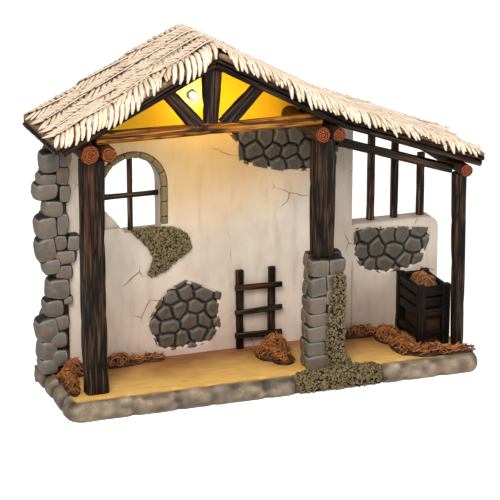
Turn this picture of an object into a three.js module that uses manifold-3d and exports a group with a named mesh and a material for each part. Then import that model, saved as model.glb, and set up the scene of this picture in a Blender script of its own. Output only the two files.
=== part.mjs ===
// Lighted nativity stable: a plastered back wall with fieldstone showing where the plaster has broken
// away, hewn posts and a gable truss, a roof of overlapping palm fronds, a manger and a ladder, and a
// warm lamp in the gable that runs from two cells in the back of the wall.
// Millimetres. X runs right, Y runs back, Z runs up. The origin is under the middle of the base.

import * as THREE from "three";
import { mergeVertices } from "three/addons/utils/BufferGeometryUtils.js";
import Module from "manifold-3d";

const wasm = await Module();
wasm.setup();

// Driving dimensions: general
const FIT = 0.3; // gap between two pieces that touch

// Base
const BASE_LEFT = -208;
const BASE_RIGHT = 211;
const BASE_FRONT = -54;
const BASE_BACK = 63;
const FLOOR_Z = 17.5;
const LEDGE_REACH = 10; // how far the ledge of rock stands out past the slab
const LEDGE_ROOT = 6; // how far it starts inside the slab
const FRONT_JOINTS = [-152, -107, -72, -17]; // where the ledge draws in a little
const FRONT_JOINTS_RIGHT = [129, 168];
const SIDE_JOINTS = [-30, 6, 36]; // deeper, between the rocks along the sides
const IVY_BED = [13, 106]; // stretch of the front edge that the ivy covers
const IVY_BED_REACH = 4;

// Walls
const WALL_FRONT = 40;
const WALL_THICKNESS = 20;
const WALL_LEFT = -200;
const WALL_RIGHT = 112;
const LOW_WALL_RIGHT = 208;
const LOW_WALL_Z = 135;
const LOW_WALL_CORNER = 12;
const PATCH_DEPTH = 5; // thickness of the broken plaster
const PATCH_BACKING = 1.6;
const COBBLE_GAP = 1.8;
const COBBLE_PROUD = 1.2; // how far the cobbles stand out of the plaster

// Window
const WINDOW_X = -120;
const WINDOW_HALF = 29;
const WINDOW_SILL_Z = 151;
const WINDOW_TOP_Z = 226;
const ARCH_WIDTH = 7;
const ARCH_REBATE = 6;
const ARCH_PROUD = 1.8;
const ARCH_FOOT_Z = 157;
const ARCH_STONES = 6;
const JAMB_STONES = 3;
const SILL_BREAK = 23; // height of the broken plaster left in the window's lower left corner
const MUNTIN = 5.5;
const MUNTIN_DEPTH = 5;
const TRANSOM_Z = 187;

// Roof, as the line that runs under the rafters
const RIDGE_X = -64;
const RIDGE_Z = 330;
const LEFT_PITCH = 25.64; // degrees
const RIGHT_PITCH = 27.92;
const LEANTO_PITCH = 19.55;
const KINK_X = 66;
const LEFT_EAVE_X = -222;
const RIGHT_EAVE_X = 213;
const ROOF_FRONT = -54;
const ROOF_BACK = 63;
const RAFTER_DEPTH = 7;
const RAFTER_WIDTH = 14;
const RAFTER_FRONT = -50;
const RAFTER_SETBACK = 9; // from the left eave to the rafter's end
const DECK_THICKNESS = 4.5;
const THATCH_THICKNESS = 7;
const LEANTO_THATCH_END = 4; // thatch thins to this at the lean-to's eave
const FROND_LENGTH = 72;
const FROND_WIDTH = 36;
const FROND_THICKNESS = 2.4;
const FROND_LEAFLETS = 4;
const FROND_COLUMNS = 3;
const FROND_ROW = 54; // along the roof from one row of fronds to the next
const FROND_LIFT = 2; // how far a frond's tip rises out of the thatch
const FRINGE_THICKNESS = 3.4;
const FRINGE_DROP = 9;

// Posts, logs and truss
const POST_WIDTH = 25.7;
const POST_DEPTH = 24;
const POST_FRONT = -40;
const POST_LEFT_X = -182.4;
const POST_LEFT_Z = 250.4;
const POST_CENTER_X = 50;
const POST_CENTER_Z = 249.8;
const POST_RIGHT_X = 193;
const POST_RIGHT_TOP_WIDTH = 17;
const POST_RIGHT_FOOT_WIDTH = 13;
const LOG_FRONT = -53.6;
const LOG_LEFT_OUTER_X = -188.4;
const LOG_LEFT_INNER_X = -170.6;
const LOG_LEFT_INNER_R = 7.5;
const LOG_CENTER_LEFT_X = 42;
const LOG_CENTER_RIGHT_X = 59.3;
const LOG_RIGHT_X = 194;
const LOG_RIGHT_R = 6.6;
const LOG_RIGHT_BACK = 56;
const TRUSS_FRONT = -46;
const TRUSS_THICKNESS = 10;
const TIE_HEIGHT = 11.3;
const TIE_LEFT = -180;
const TIE_RIGHT = 45;
const KING_FOOT_LEFT = -74;
const KING_FOOT_RIGHT = -59.6;
const KING_HEAD_LEFT = -75.8;
const KING_HEAD_RIGHT = -54;
const BRACE_LEFT_HEAD = [-116.3, -103.5];
const BRACE_RIGHT_HEAD = [-25.1, -11];
const BRACE_LEFT_FOOT = -94;
const BRACE_RIGHT_FOOT = -39.2;
const LEANTO_BEAM_HEIGHT = 9;
const LEANTO_BEAM_DEPTH = 10;
const LEANTO_BEAM_FRONT = -38;
const LEANTO_BEAM_RISE = 39; // from its right end to its left end

// Pier under the centre post
const PIER_WIDTH = 36;
const PIER_DEPTH = 33;
const PIER_X = 51.5;
const PIER_FRONT = -46;
const PIER_TOP_Z = 130;

// Slats over the low wall
const SLAT_X = [136, 162.3, 191];
const SLAT_WIDTH = 7.5;
const SLAT_DEPTH = 7;

// Ladder
const LADDER_LEFT = -10;
const LADDER_RIGHT = 24;
const LADDER_TOP_Z = 101;
const LADDER_RAIL = 8;
const LADDER_RAIL_DEPTH = 4.6;
const RUNG_Z = [33, 58.5, 83.5];
const RUNG_HEIGHT = 6;
const RUNG_DEPTH = 4;
const RUNG_LEFT = -17;
const RUNG_RIGHT = 34;

// Manger
const MANGER_LEFT = 160.5;
const MANGER_RIGHT = 196;
const MANGER_FRONT = -21;
const MANGER_HEIGHT = 63.5;
const MANGER_LEG = 9;
const MANGER_LEG_DEPTH = 8;
const MANGER_BOARD = 4.5;
const MANGER_RAILS = [[6.5, 14.5], [28, 39], [40, 51], [52, 62.5]]; // heights above the floor

// Lamp and its power
const LAMP_X = -58.5;
const LAMP_Z = 285;
const LAMP_R = 2.6;
const LAMP_LENGTH = 9;
const LAMP_COLLAR_R = 5;
const LAMP_COLLAR = 2.2;
const LAMP_STEM_R = 3.2;
const LAMP_STEM = 10;
const LEAD_R = 1;
const LEAD_BEND = 4;
const LEAD_GROOVE = 4.2;
const LEAD_GROOVE_DEPTH = 5;
const CELL_R = 5.15;
const CELL_LENGTH = 43.6;
const CELL_TIP_R = 1.9;
const CELL_TIP = 0.9;
const CELL_CLEARANCE = 0.4;
const CONTACT_THICKNESS = 0.6;
const BATTERY_X = -58.5;
const BATTERY_Z = 120;
const BATTERY_WALL = 1.6;
const SWITCH_BAY = 12;
const SWITCH_BAY_HEIGHT = 6;
const SWITCH_TRAVEL = 3;
const SWITCH_KNOB = 3;
const DOOR_THICKNESS = 1.8;
const DOOR_PIN_R = 0.9;
const DOOR_PIN = 1.6;

// Sizes worked out from the ones above
const WALL_BACK = WALL_FRONT + WALL_THICKNESS;
const WALL_FOOT_Z = FLOOR_Z + FIT;
const ARCH_OUTER = WINDOW_HALF + ARCH_WIDTH;
const SPRING_Z = WINDOW_TOP_Z - WINDOW_HALF;
const POST_MIDDLE_Y = POST_FRONT + POST_DEPTH / 2;
const SLAT_MIDDLE_Y = WALL_FRONT + WALL_THICKNESS / 2;

const slope = (degrees) => Math.tan(THREE.MathUtils.degToRad(degrees));

// A repeatable random number from 0 to 1 for each seed, so that every stone and frond keeps its shape.
function chance(seed) {
  const wave = Math.sin(seed * 127.1 + 311.7) * 43758.5453;
  return wave - Math.floor(wave);
}
const spread = (seed, amount) => (chance(seed) * 2 - 1) * amount;

// Height of the line under the rafters.
function rafterZ(x) {
  const kinkZ = RIDGE_Z - (KINK_X - RIDGE_X) * slope(RIGHT_PITCH);
  if (x <= RIDGE_X) return RIDGE_Z - (RIDGE_X - x) * slope(LEFT_PITCH);
  if (x <= KINK_X) return RIDGE_Z - (x - RIDGE_X) * slope(RIGHT_PITCH);
  return kinkZ - (x - KINK_X) * slope(LEANTO_PITCH);
}
const deckZ = (x) => rafterZ(x) + RAFTER_DEPTH + FIT;
const thatchZ = (x) => deckZ(x) + DECK_THICKNESS + FIT;
function thatchTopZ(x) {
  const along = Math.max(0, (x - KINK_X) / (RIGHT_EAVE_X - KINK_X));
  return thatchZ(x) + THREE.MathUtils.lerp(THATCH_THICKNESS, LEANTO_THATCH_END, along);
}

// A three.js geometry as a closed solid, and back again.
function solid(geometry) {
  const source = geometry.index ? geometry.toNonIndexed() : geometry;
  const bare = new THREE.BufferGeometry();
  bare.setAttribute("position", source.getAttribute("position").clone());
  const merged = mergeVertices(bare, 1e-4);
  const vertProperties = merged.attributes.position.array;
  const triVerts = new Uint32Array(merged.index.array);
  return new wasm.Manifold(new wasm.Mesh({ numProp: 3, vertProperties, triVerts }));
}

function geometryOf(body) {
  const mesh = body.getMesh();
  const corners = new Float32Array(mesh.numVert * 3);
  for (let i = 0; i < mesh.numVert; i++) {
    corners.set(mesh.vertProperties.subarray(i * mesh.numProp, i * mesh.numProp + 3), i * 3);
  }
  const geometry = new THREE.BufferGeometry();
  geometry.setAttribute("position", new THREE.BufferAttribute(corners, 3));
  geometry.setIndex(new THREE.BufferAttribute(new Uint32Array(mesh.triVerts), 1));
  return geometry.toNonIndexed();
}

const join = (bodies) => bodies.reduce((sum, body) => sum.add(body));
const cut = (body, tools) => tools.reduce((rest, tool) => rest.subtract(tool), body);

// A box between two opposite corners.
function block([x0, x1], [y0, y1], [z0, z1]) {
  const box = new THREE.BoxGeometry(x1 - x0, y1 - y0, z1 - z0);
  return solid(box.translate((x0 + x1) / 2, (y0 + y1) / 2, (z0 + z1) / 2));
}

const outline = (points) => new THREE.Shape(points.map(([a, b]) => new THREE.Vector2(a, b)));

// An outline drawn in X and Z, with its thickness from front to back.
function panel(points, front, back) {
  const shape = points instanceof THREE.Shape ? points : outline(points);
  const flat = { depth: back - front, bevelEnabled: false, curveSegments: 12 };
  return solid(new THREE.ExtrudeGeometry(shape, flat).rotateX(Math.PI / 2).translate(0, back, 0));
}

// A round bar along Y or X.
function barY(x, z, radius, front, back, sides = 14) {
  const bar = new THREE.CylinderGeometry(radius, radius, back - front, sides);
  return solid(bar.translate(x, (front + back) / 2, z));
}
function barX(y, z, radius, left, right, sides = 12) {
  const bar = new THREE.CylinderGeometry(radius, radius, right - left, sides).rotateZ(Math.PI / 2);
  return solid(bar.translate((left + right) / 2, y, z));
}

// The same loop of points moved in or out by a distance, corner by corner.
function offsetLoop(points, distance) {
  const count = points.length;
  return points.map((point, i) => {
    const before = points[(i + count - 1) % count];
    const after = points[(i + 1) % count];
    const a = new THREE.Vector2(point[0] - before[0], point[1] - before[1]).normalize();
    const b = new THREE.Vector2(after[0] - point[0], after[1] - point[1]).normalize();
    const normal = new THREE.Vector2(a.y + b.y, -a.x - b.x).normalize();
    const stretch = Math.max(0.5, normal.dot(new THREE.Vector2(a.y, -a.x)));
    return [point[0] + (normal.x * distance) / stretch, point[1] + (normal.y * distance) / stretch];
  });
}

// A closed body through rings of points. The rings turn anticlockwise as seen from the last one, and a
// fan closes each end.
function loft(rings, tip) {
  const count = rings[0].length;
  const last = rings.length - 1;
  const middle = (ring) => [0, 1, 2].map((axis) => ring.reduce((sum, p) => sum + p[axis], 0) / count);
  const corners = [...rings.flat(), middle(rings[0]), tip ?? middle(rings[last])];
  const faces = [];
  for (let i = 0; i < count; i++) {
    const j = (i + 1) % count;
    faces.push([corners.length - 2, j, i]);
    for (let ring = 0; ring < last; ring++) {
      const a = ring * count + i;
      const b = ring * count + j;
      faces.push([a, b, b + count], [a, b + count, a + count]);
    }
    faces.push([last * count + i, last * count + j, corners.length - 1]);
  }
  const geometry = new THREE.BufferGeometry();
  const flat = new Float32Array(faces.flat().flatMap((corner) => corners[corner]));
  geometry.setAttribute("position", new THREE.BufferAttribute(flat, 3));
  return solid(geometry);
}

// A rounded stone: a box of small faces drawn onto a superellipsoid, rounder for a lower power.
function stone(x, y, z, width, depth, height, seed, power = 3, grow = 0) {
  const box = new THREE.BoxGeometry(2, 2, 2, 2, 2, 2);
  const place = box.getAttribute("position");
  for (let i = 0; i < place.count; i++) {
    const corner = new THREE.Vector3().fromBufferAttribute(place, i);
    const key = seed * 31 + corner.x * 3 + corner.y * 7 + corner.z * 13;
    const sum = Math.abs(corner.x) ** power + Math.abs(corner.y) ** power + Math.abs(corner.z) ** power;
    corner.multiplyScalar(sum ** (-1 / power) * (1 - chance(key) * 0.07));
    corner.multiply(new THREE.Vector3(width / 2 + grow, depth / 2 + grow, height / 2 + grow));
    place.setXYZ(i, x + corner.x, y + corner.y, z + corner.z);
  }
  return solid(box);
}

// Base: a slab with a ledge of soft rock carried round its front and sides, flat underneath. The ledge
// swells between two joints and draws in at each. Stations run from the left side's back end to the
// right one's, each a spot just inside the slab's edge and the direction in which the ledge stands out.
function ledgeStations() {
  const left = BASE_LEFT + LEDGE_ROOT;
  const right = BASE_RIGHT - LEDGE_ROOT;
  const front = BASE_FRONT + LEDGE_ROOT;
  const run = (joints, from, to, pinch) => {
    const ends = [from, ...joints, to];
    return ends.slice(1).flatMap((end, i) => {
      const at = (share) => THREE.MathUtils.lerp(ends[i], end, share);
      const swell = 1 + spread(ends[i] + end, 0.05);
      const first = i === 0 ? [] : [[ends[i], pinch]];
      return [...first, [at(0.22), swell], [at(0.75), swell - 0.02]];
    });
  };
  const side = (x, turn, stretch) => stretch.map(([y, swell]) => [x, y, turn, swell]);
  const corner = (x, turns) => turns.map((turn) => [x, front, turn, 1]);
  const leftSide = run(SIDE_JOINTS, front, BASE_BACK, 0.45).reverse();
  const frontSide = run([...FRONT_JOINTS, ...IVY_BED, ...FRONT_JOINTS_RIGHT], left, right, 0.8);
  const rightSide = run(SIDE_JOINTS, front, BASE_BACK, 0.45);
  return [
    [left, BASE_BACK, 180, 0.8],
    ...side(left, 180, leftSide),
    ...corner(left, [202, 225, 248]),
    ...frontSide.map(([x, swell]) => [x, front, 270, swell]),
    ...corner(right, [292, 315, 338]),
    ...side(right, 360, rightSide),
    [right, BASE_BACK, 360, 0.8],
  ];
}

function baseSlab() {
  const slab = block([BASE_LEFT, BASE_RIGHT], [BASE_FRONT, BASE_BACK], [0, FLOOR_Z]);
  const bed = block(IVY_BED, [BASE_FRONT - IVY_BED_REACH, BASE_FRONT + 4], [0, FLOOR_Z]);
  const bedRoom = block(IVY_BED, [-200, BASE_FRONT - IVY_BED_REACH], [-1, 200]);
  const profile = [[0.86, 0], [1, 0.36], [0.86, 0.76], [0.45, 0.97]];
  const rings = ledgeStations().map(([x, y, turn, swell]) => {
    const angle = THREE.MathUtils.degToRad(turn);
    const reach = LEDGE_ROOT + LEDGE_REACH * swell;
    const at = (out, z) => [x + Math.cos(angle) * out, y + Math.sin(angle) * out, z];
    const rock = profile.map(([out, up]) => at(reach * out, FLOOR_Z * up));
    return [at(0, FLOOR_Z - 0.5), ...rock.reverse(), at(0, 0)];
  });
  return join([cut(loft(rings), [bedRoom]), slab, bed]);
}

// Fieldstone: cobbles share a patch out between jittered centres, each kept to its own side of the
// line half way to every neighbour, and cut off where the plaster's broken edge covers them
const PATCH_CENTER = [
  [-80, 24], [-60, 24], [-43, 27], [-29, 44], [-32, 62], [-28, 79], [-46, 88], [-66, 97],
  [-87, 88], [-99, 71], [-107, 56], [-100, 37], [-96, 27],
];
const PATCH_TOP = [
  [1, 208], [22, 202], [44, 197], [69, 196], [93, 193], [96, 220], [93, 241], [40, 252],
  [-4, 252], [-22, 243], [-11, 231], [-10, 213],
];
const PATCH_LOW = [
  [115, 130], [113.5, 113], [114.5, 100], [122, 88], [146, 79],
  [168, 80], [189, 88], [197, 107], [199, 124], [160, 129],
];

// The part of a loop that lies behind a line through (px, pz) with the normal (nx, nz).
function keepSide(loop, [px, pz], [nx, nz]) {
  const kept = [];
  loop.forEach((a, i) => {
    const b = loop[(i + 1) % loop.length];
    const da = (a[0] - px) * nx + (a[1] - pz) * nz;
    const db = (b[0] - px) * nx + (b[1] - pz) * nz;
    if (da <= 0) kept.push(a);
    if (da * db < 0) {
      const t = da / (da - db);
      kept.push([a[0] + (b[0] - a[0]) * t, a[1] + (b[1] - a[1]) * t]);
    }
  });
  return kept;
}

// One cobble: upright sides, a bevel and a domed face.
function cobble(loop, front, back) {
  const cx = loop.reduce((sum, p) => sum + p[0], 0) / loop.length;
  const cz = loop.reduce((sum, p) => sum + p[1], 0) / loop.length;
  const rings = [[1, back], [1, front + 1.9], [0.68, front + 0.5]].map(([share, y]) =>
    loop.map(([x, z]) => [cx + (x - cx) * share, y, cz + (z - cz) * share]));
  return loft(rings, [cx, front, cz]);
}

function fieldstone(loop, pitch, seed) {
  const front = WALL_FRONT - COBBLE_PROUD;
  const back = WALL_FRONT + PATCH_DEPTH - FIT;
  const xs = loop.map((p) => p[0]);
  const zs = loop.map((p) => p[1]);
  const centres = [];
  let row = 0;
  for (let z = Math.min(...zs) - pitch / 4; z < Math.max(...zs) + pitch; z += pitch * 0.86, row++) {
    for (let x = Math.min(...xs) - pitch / 2; x < Math.max(...xs) + pitch; x += pitch) {
      const key = seed + centres.length;
      const shift = row % 2 ? pitch / 2 : 0;
      centres.push([x + shift + spread(key, pitch * 0.24), z + spread(key + 0.5, pitch * 0.2)]);
    }
  }
  const edge = offsetLoop(loop, -FIT);
  const inside = panel(edge, front - 5, back);
  const plate = panel(edge, back - PATCH_BACKING, back);
  const cobbles = centres.map(([x, z], i) => {
    let cell = [[-1, -1], [1, -1], [1, 1], [-1, 1]].map(([a, b]) => [x + a * pitch, z + b * pitch]);
    centres.forEach(([ox, oz], j) => {
      const gap = Math.hypot(ox - x, oz - z);
      if (i === j || gap > pitch * 2.6) return;
      const n = [(ox - x) / gap, (oz - z) / gap];
      const reach = (gap - COBBLE_GAP) / 2;
      cell = keepSide(cell, [x + n[0] * reach, z + n[1] * reach], n);
    });
    return cobble(cell, front + chance(seed + i * 1.7) * 1.2, back - PATCH_BACKING / 2);
  });
  return join([plate, ...cobbles.map((c) => c.intersect(inside)).filter((c) => !c.isEmpty())]);
}

// The hollow in the plaster that a patch of fieldstone fills.
const patchHollow = (loop) => panel(loop, WALL_FRONT - 10, WALL_FRONT + PATCH_DEPTH);

// The window's outline, a round arch over straight sides.
function archOutline(half, foot, spring) {
  const shape = new THREE.Shape();
  shape.moveTo(WINDOW_X - half, foot);
  shape.lineTo(WINDOW_X + half, foot);
  shape.lineTo(WINDOW_X + half, spring);
  shape.absarc(WINDOW_X, spring, half, 0, Math.PI, false);
  shape.closePath();
  return shape;
}

function batteryHollow() {
  const { left, right, bottom, top, front } = BATTERY;
  return block([left - FIT, right + FIT], [front - FIT, WALL_BACK + 5], [bottom - FIT, top + FIT]);
}

// The battery box in the back of the wall. Cells lie one above the other, the door hangs below them.
const CELL_BAY_LENGTH = CELL_LENGTH + CELL_TIP + 2 * CONTACT_THICKNESS + 3 * FIT + 2;
const CELL_BAY_HEIGHT = 4 * CELL_R + 3 * CELL_CLEARANCE;
const CELL_BAY_DEPTH = 2 * CELL_R + CELL_CLEARANCE + FIT;
const BATTERY = {
  left: BATTERY_X - CELL_BAY_LENGTH / 2 - DOOR_PIN - 1.4 - BATTERY_WALL,
  right: BATTERY_X + CELL_BAY_LENGTH / 2 + DOOR_PIN + SWITCH_BAY + 1.4 + 2 * BATTERY_WALL,
  bottom: BATTERY_Z - CELL_BAY_HEIGHT / 2 - 2 * DOOR_PIN_R - 2 - BATTERY_WALL,
  top: BATTERY_Z + CELL_BAY_HEIGHT / 2 + 2.4 + BATTERY_WALL,
  front: WALL_BACK - FIT - DOOR_THICKNESS - CELL_BAY_DEPTH - BATTERY_WALL,
  back: WALL_BACK - FIT,
};
const DOOR = {
  left: BATTERY_X - CELL_BAY_LENGTH / 2 - 1.2,
  right: BATTERY_X + CELL_BAY_LENGTH / 2 + 1.2,
  hingeZ: BATTERY_Z - CELL_BAY_HEIGHT / 2 - DOOR_THICKNESS / 2 - 0.6,
  hingeY: BATTERY.back - DOOR_THICKNESS / 2,
  top: BATTERY_Z + CELL_BAY_HEIGHT / 2 + 1.6,
};
const CELL_MIDDLE_Y = BATTERY.back - DOOR_THICKNESS - FIT - CELL_CLEARANCE / 2 - CELL_R;
const BAY_LEFT = BATTERY_X - CELL_BAY_LENGTH / 2;
const BAY_RIGHT = BATTERY_X + CELL_BAY_LENGTH / 2;
const SWITCH_LEFT = BATTERY.right - BATTERY_WALL - SWITCH_BAY;

// Walls
function backWall() {
  const left = WALL_LEFT;
  const wall = panel([
    [left, WALL_FOOT_Z],
    [WALL_RIGHT, WALL_FOOT_Z],
    [WALL_RIGHT, deckZ(WALL_RIGHT) - FIT],
    [KINK_X, deckZ(KINK_X) - FIT],
    [RIDGE_X, deckZ(RIDGE_X) - FIT],
    [left, deckZ(left) - FIT],
  ], WALL_FRONT, WALL_BACK);
  const opening = panel(archOutline(WINDOW_HALF, WINDOW_SILL_Z, SPRING_Z), WALL_FRONT - 9, WALL_BACK + 9);
  const corner = WINDOW_X - WINDOW_HALF - 1;
  const broken = panel([
    [corner, WINDOW_SILL_Z - 1], [corner + SILL_BREAK, WINDOW_SILL_Z - 1],
    [corner + SILL_BREAK * 0.62, WINDOW_SILL_Z + SILL_BREAK * 0.5],
    [corner + SILL_BREAK * 0.3, WINDOW_SILL_Z + SILL_BREAK * 0.85], [corner, WINDOW_SILL_Z + SILL_BREAK],
  ], WALL_FRONT - 10, WALL_BACK + 10);
  const window = cut(opening, [broken]);
  const rebate = panel(
    archOutline(ARCH_OUTER + FIT, ARCH_FOOT_Z - FIT, SPRING_Z), WALL_FRONT - 9, WALL_FRONT + ARCH_REBATE);
  const lampHole = barY(LAMP_X, LAMP_Z, LAMP_STEM_R + FIT, WALL_FRONT - 9, WALL_BACK + 9, 12);
  const groove = block(
    [LAMP_X - LEAD_GROOVE / 2, LAMP_X + LEAD_GROOVE / 2],
    [WALL_BACK - LEAD_GROOVE_DEPTH, WALL_BACK + 5],
    [BATTERY.top - 1, LAMP_Z],
  );
  return cut(wall, [window, rebate, lampHole, groove, batteryHollow(),
    patchHollow(PATCH_CENTER), patchHollow(PATCH_TOP)]);
}

function lowWall() {
  const left = WALL_RIGHT + FIT;
  const cornerZ = LOW_WALL_Z - LOW_WALL_CORNER;
  const shape = new THREE.Shape();
  shape.moveTo(left, WALL_FOOT_Z);
  shape.lineTo(LOW_WALL_RIGHT, WALL_FOOT_Z);
  shape.lineTo(LOW_WALL_RIGHT, cornerZ);
  shape.absarc(LOW_WALL_RIGHT - LOW_WALL_CORNER, cornerZ, LOW_WALL_CORNER, 0, Math.PI / 2);
  shape.lineTo(left, LOW_WALL_Z);
  shape.closePath();
  return cut(panel(shape, WALL_FRONT, WALL_BACK), [patchHollow(PATCH_LOW)]);
}

// Rounded stones round the wall's left end, from the top down: middle in X and Z, width and height.
// The outer ones reach back round the wall, the inner ones lie against its front.
const END_STONES = [
  [-203, 231.5, 19, 23], [-189.5, 235, 14, 20], [-206.4, 215.2, 19, 12], [-192, 217, 14, 19],
  [-207.8, 203, 24, 18], [-189.8, 199.5, 12, 18], [-201, 185.4, 20, 18], [-208, 167, 21, 24],
  [-192.8, 169, 13, 24], [-209, 145, 19, 25.5], [-195.5, 150.5, 14, 16.5], [-182.3, 148.7, 14, 17],
  [-191.8, 135, 24, 15], [-204.1, 127.5, 17, 17], [-192.8, 120, 18, 16], [-198, 104, 23, 22],
  [-203, 84.7, 20, 19], [-189, 91, 13, 10], [-210, 63, 21, 25.5], [-197.5, 68.5, 20, 17],
  [-200.3, 52, 19, 18], [-210, 40.5, 19, 23], [-200, 34, 20, 19], [-209.5, 25, 18, 18],
];

function leftEndStones(grow = 0) {
  const stones = END_STONES.map(([x, z, wide, tall], i) => {
    const outer = x < WALL_LEFT;
    const near = outer ? WALL_FRONT - 11 : WALL_FRONT - 8;
    const far = outer ? WALL_BACK + 3 : WALL_FRONT + 8;
    return stone(x, (near + far) / 2, z, wide * 1.1, far - near, tall * 1.12, i + 40, 3, grow);
  });
  if (grow) return join(stones);
  const logZ = POST_LEFT_Z + FIT + LOG_LEFT_OUTER_R;
  const logRoom = barY(LOG_LEFT_OUTER_X, logZ, LOG_LEFT_OUTER_R + FIT, -100, WALL_FRONT);
  const wallRoom = block([WALL_LEFT - FIT, WALL_LEFT + 60], [WALL_FRONT - FIT, 200], [-1, 500]);
  const floorRoom = block([-400, 0], [-200, 200], [-50, WALL_FOOT_Z]);
  const backRoom = block([-400, 0], [BASE_BACK, 200], [-50, 500]);
  return cut(join(stones), [wallRoom, floorRoom, backRoom, logRoom]);
}

// Window dressing
function windowArch() {
  const back = WALL_FRONT + ARCH_REBATE - FIT;
  const front = WALL_FRONT - ARCH_PROUD;
  const inner = WINDOW_HALF + 0.6;
  const ring = cut(
    panel(archOutline(ARCH_OUTER, ARCH_FOOT_Z, SPRING_Z), back - 3, back),
    [panel(archOutline(inner, WINDOW_SILL_Z, SPRING_Z), back - 9, back + 9)]);
  const bevel = 0.6;
  const brick = {
    depth: back - front - 2,
    bevelEnabled: true,
    bevelSize: bevel,
    bevelThickness: 1,
    bevelSegments: 1,
  };
  const stones = [];
  const addStone = (points) => {
    const body = new THREE.ExtrudeGeometry(outline(points), brick);
    stones.push(solid(body.rotateX(Math.PI / 2).translate(0, back - 1, 0)));
  };
  const inset = bevel + 0.25;
  for (let i = 0; i < ARCH_STONES; i++) {
    const step = Math.PI / ARCH_STONES;
    const trim = inset / ARCH_OUTER;
    const a = i * step + trim;
    const b = (i + 1) * step - trim;
    const turn = (angle, r) => [WINDOW_X + Math.cos(angle) * r, SPRING_Z + Math.sin(angle) * r];
    const outer = ARCH_OUTER - 0.8 + spread(i + 80, 0.2);
    addStone([turn(a, inner + 0.7), turn(a, outer), turn(b, outer), turn(b, inner + 0.7)]);
  }
  const jamb = (SPRING_Z - ARCH_FOOT_Z) / JAMB_STONES;
  for (let i = 0; i < JAMB_STONES; i++) {
    const z0 = ARCH_FOOT_Z + i * jamb + inset;
    const z1 = z0 + jamb - 2 * inset;
    for (const side of [-1, 1]) {
      const near = WINDOW_X + side * (inner + 0.7);
      const far = WINDOW_X + side * (ARCH_OUTER - 0.8);
      const corners = [[near, z0], [far, z0], [far, z1], [near, z1]];
      addStone(side > 0 ? corners : corners.reverse());
    }
  }
  return join([ring, ...stones]);
}

function windowCross() {
  const front = WALL_FRONT + ARCH_REBATE + FIT + 0.5;
  const back = front + MUNTIN_DEPTH;
  const upright = block([WINDOW_X - MUNTIN / 2, WINDOW_X + MUNTIN / 2], [front, back],
    [WINDOW_SILL_Z + FIT, WINDOW_TOP_Z - FIT - 0.4]);
  const reach = WINDOW_HALF - FIT;
  const across = block([WINDOW_X - reach, WINDOW_X + reach], [front + 0.4, back - 0.4],
    [TRANSOM_Z - MUNTIN / 2 + 0.3, TRANSOM_Z + MUNTIN / 2 - 0.3]);
  return join([upright, across]);
}

// Moss that hangs under the window: a ragged mat on the plaster with soft lumps on it.
function windowMoss() {
  const edge = [
    [-122, 154], [-118, 149], [-111, 143], [-103, 132], [-99, 122], [-105, 107], [-101, 104],
    [-87, 109], [-79, 116], [-66, 125], [-60, 130], [-64, 144], [-77, 152], [-102, 155],
  ];
  const lumps = [
    [-110, 149, 16, 9], [-96, 146, 20, 15], [-80, 142, 22, 18], [-69, 134, 14, 14],
    [-86, 127, 20, 20], [-94, 114, 13, 15],
  ];
  const mat = [[0.96, WALL_FRONT - FIT], [1, WALL_FRONT - 2], [0.86, WALL_FRONT - 3.6]].map(([share, y]) =>
    edge.map(([x, z]) => [-90 + (x + 90) * share, y, 132 + (z - 132) * share]));
  const body = join([loft(mat), ...lumps.map(([x, z, wide, tall], i) =>
    stone(x, WALL_FRONT, z, wide, 11, tall, i + 90, 2.4))]);
  return cut(body, [block([-300, 300], [WALL_FRONT - FIT, 200], [0, 400])]);
}

// Hewn timber: a square section with chamfered corners and two shallow grain grooves on each face.
function timberSection(width, depth) {
  const chamfer = Math.min(width, depth) * 0.12;
  const groove = Math.min(width, depth) * 0.05;
  const side = (length) => {
    const half = length / 2 - chamfer;
    return [-half, -half * 0.52, -half * 0.4, -half * 0.28, half * 0.22, half * 0.36, half * 0.5];
  };
  const faces = [
    [0, -depth / 2, 1, 0, width], [width / 2, 0, 0, 1, depth],
    [0, depth / 2, -1, 0, width], [-width / 2, 0, 0, -1, depth],
  ];
  const points = [];
  for (const [cx, cy, dx, dy, length] of faces) {
    side(length).forEach((along, i) => {
      const sink = i === 2 || i === 5 ? groove : 0;
      points.push([cx + dx * along - dy * sink, cy + dy * along + dx * sink]);
    });
    const end = length / 2 - chamfer;
    points.push([cx + dx * end, cy + dy * end]);
  }
  return outline(points);
}

// An upright timber on the spot (x, y) that can taper towards its foot.
function post(x, y, width, depth, foot, top, footShare = 1) {
  const upright = { depth: top - foot, bevelEnabled: false };
  const bar = new THREE.ExtrudeGeometry(timberSection(width, depth), upright);
  const place = bar.getAttribute("position");
  for (let i = 0; i < place.count; i++) {
    const share = place.getZ(i) < 1 ? footShare : 1;
    place.setXY(i, place.getX(i) * share, place.getY(i) * share);
  }
  return solid(bar.translate(x, y, foot));
}

// Pier of rounded stones laid in uneven courses, as on its front: middle in X and Z, width and height,
// for a pier this high and standing at this X
const PIER_DRAWN_HEIGHT = 112.5;
const PIER_DRAWN_X = 51.5;
const PIER_STONES = [
  [43, 121.5, 19, 17.5], [61.5, 122, 17.5, 16], [41.5, 103, 17, 21], [60, 107, 20, 17],
  [42, 84, 18, 18], [59.5, 91, 20, 17], [43.5, 68.8, 20, 14], [60.5, 75, 18, 17], [44, 54.5, 22, 17],
  [62, 59, 17, 18], [41, 38.5, 18, 16], [55, 41, 12, 21], [65, 42, 13, 17], [43, 24.5, 23, 15],
  [62, 26, 20, 18],
];

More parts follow.
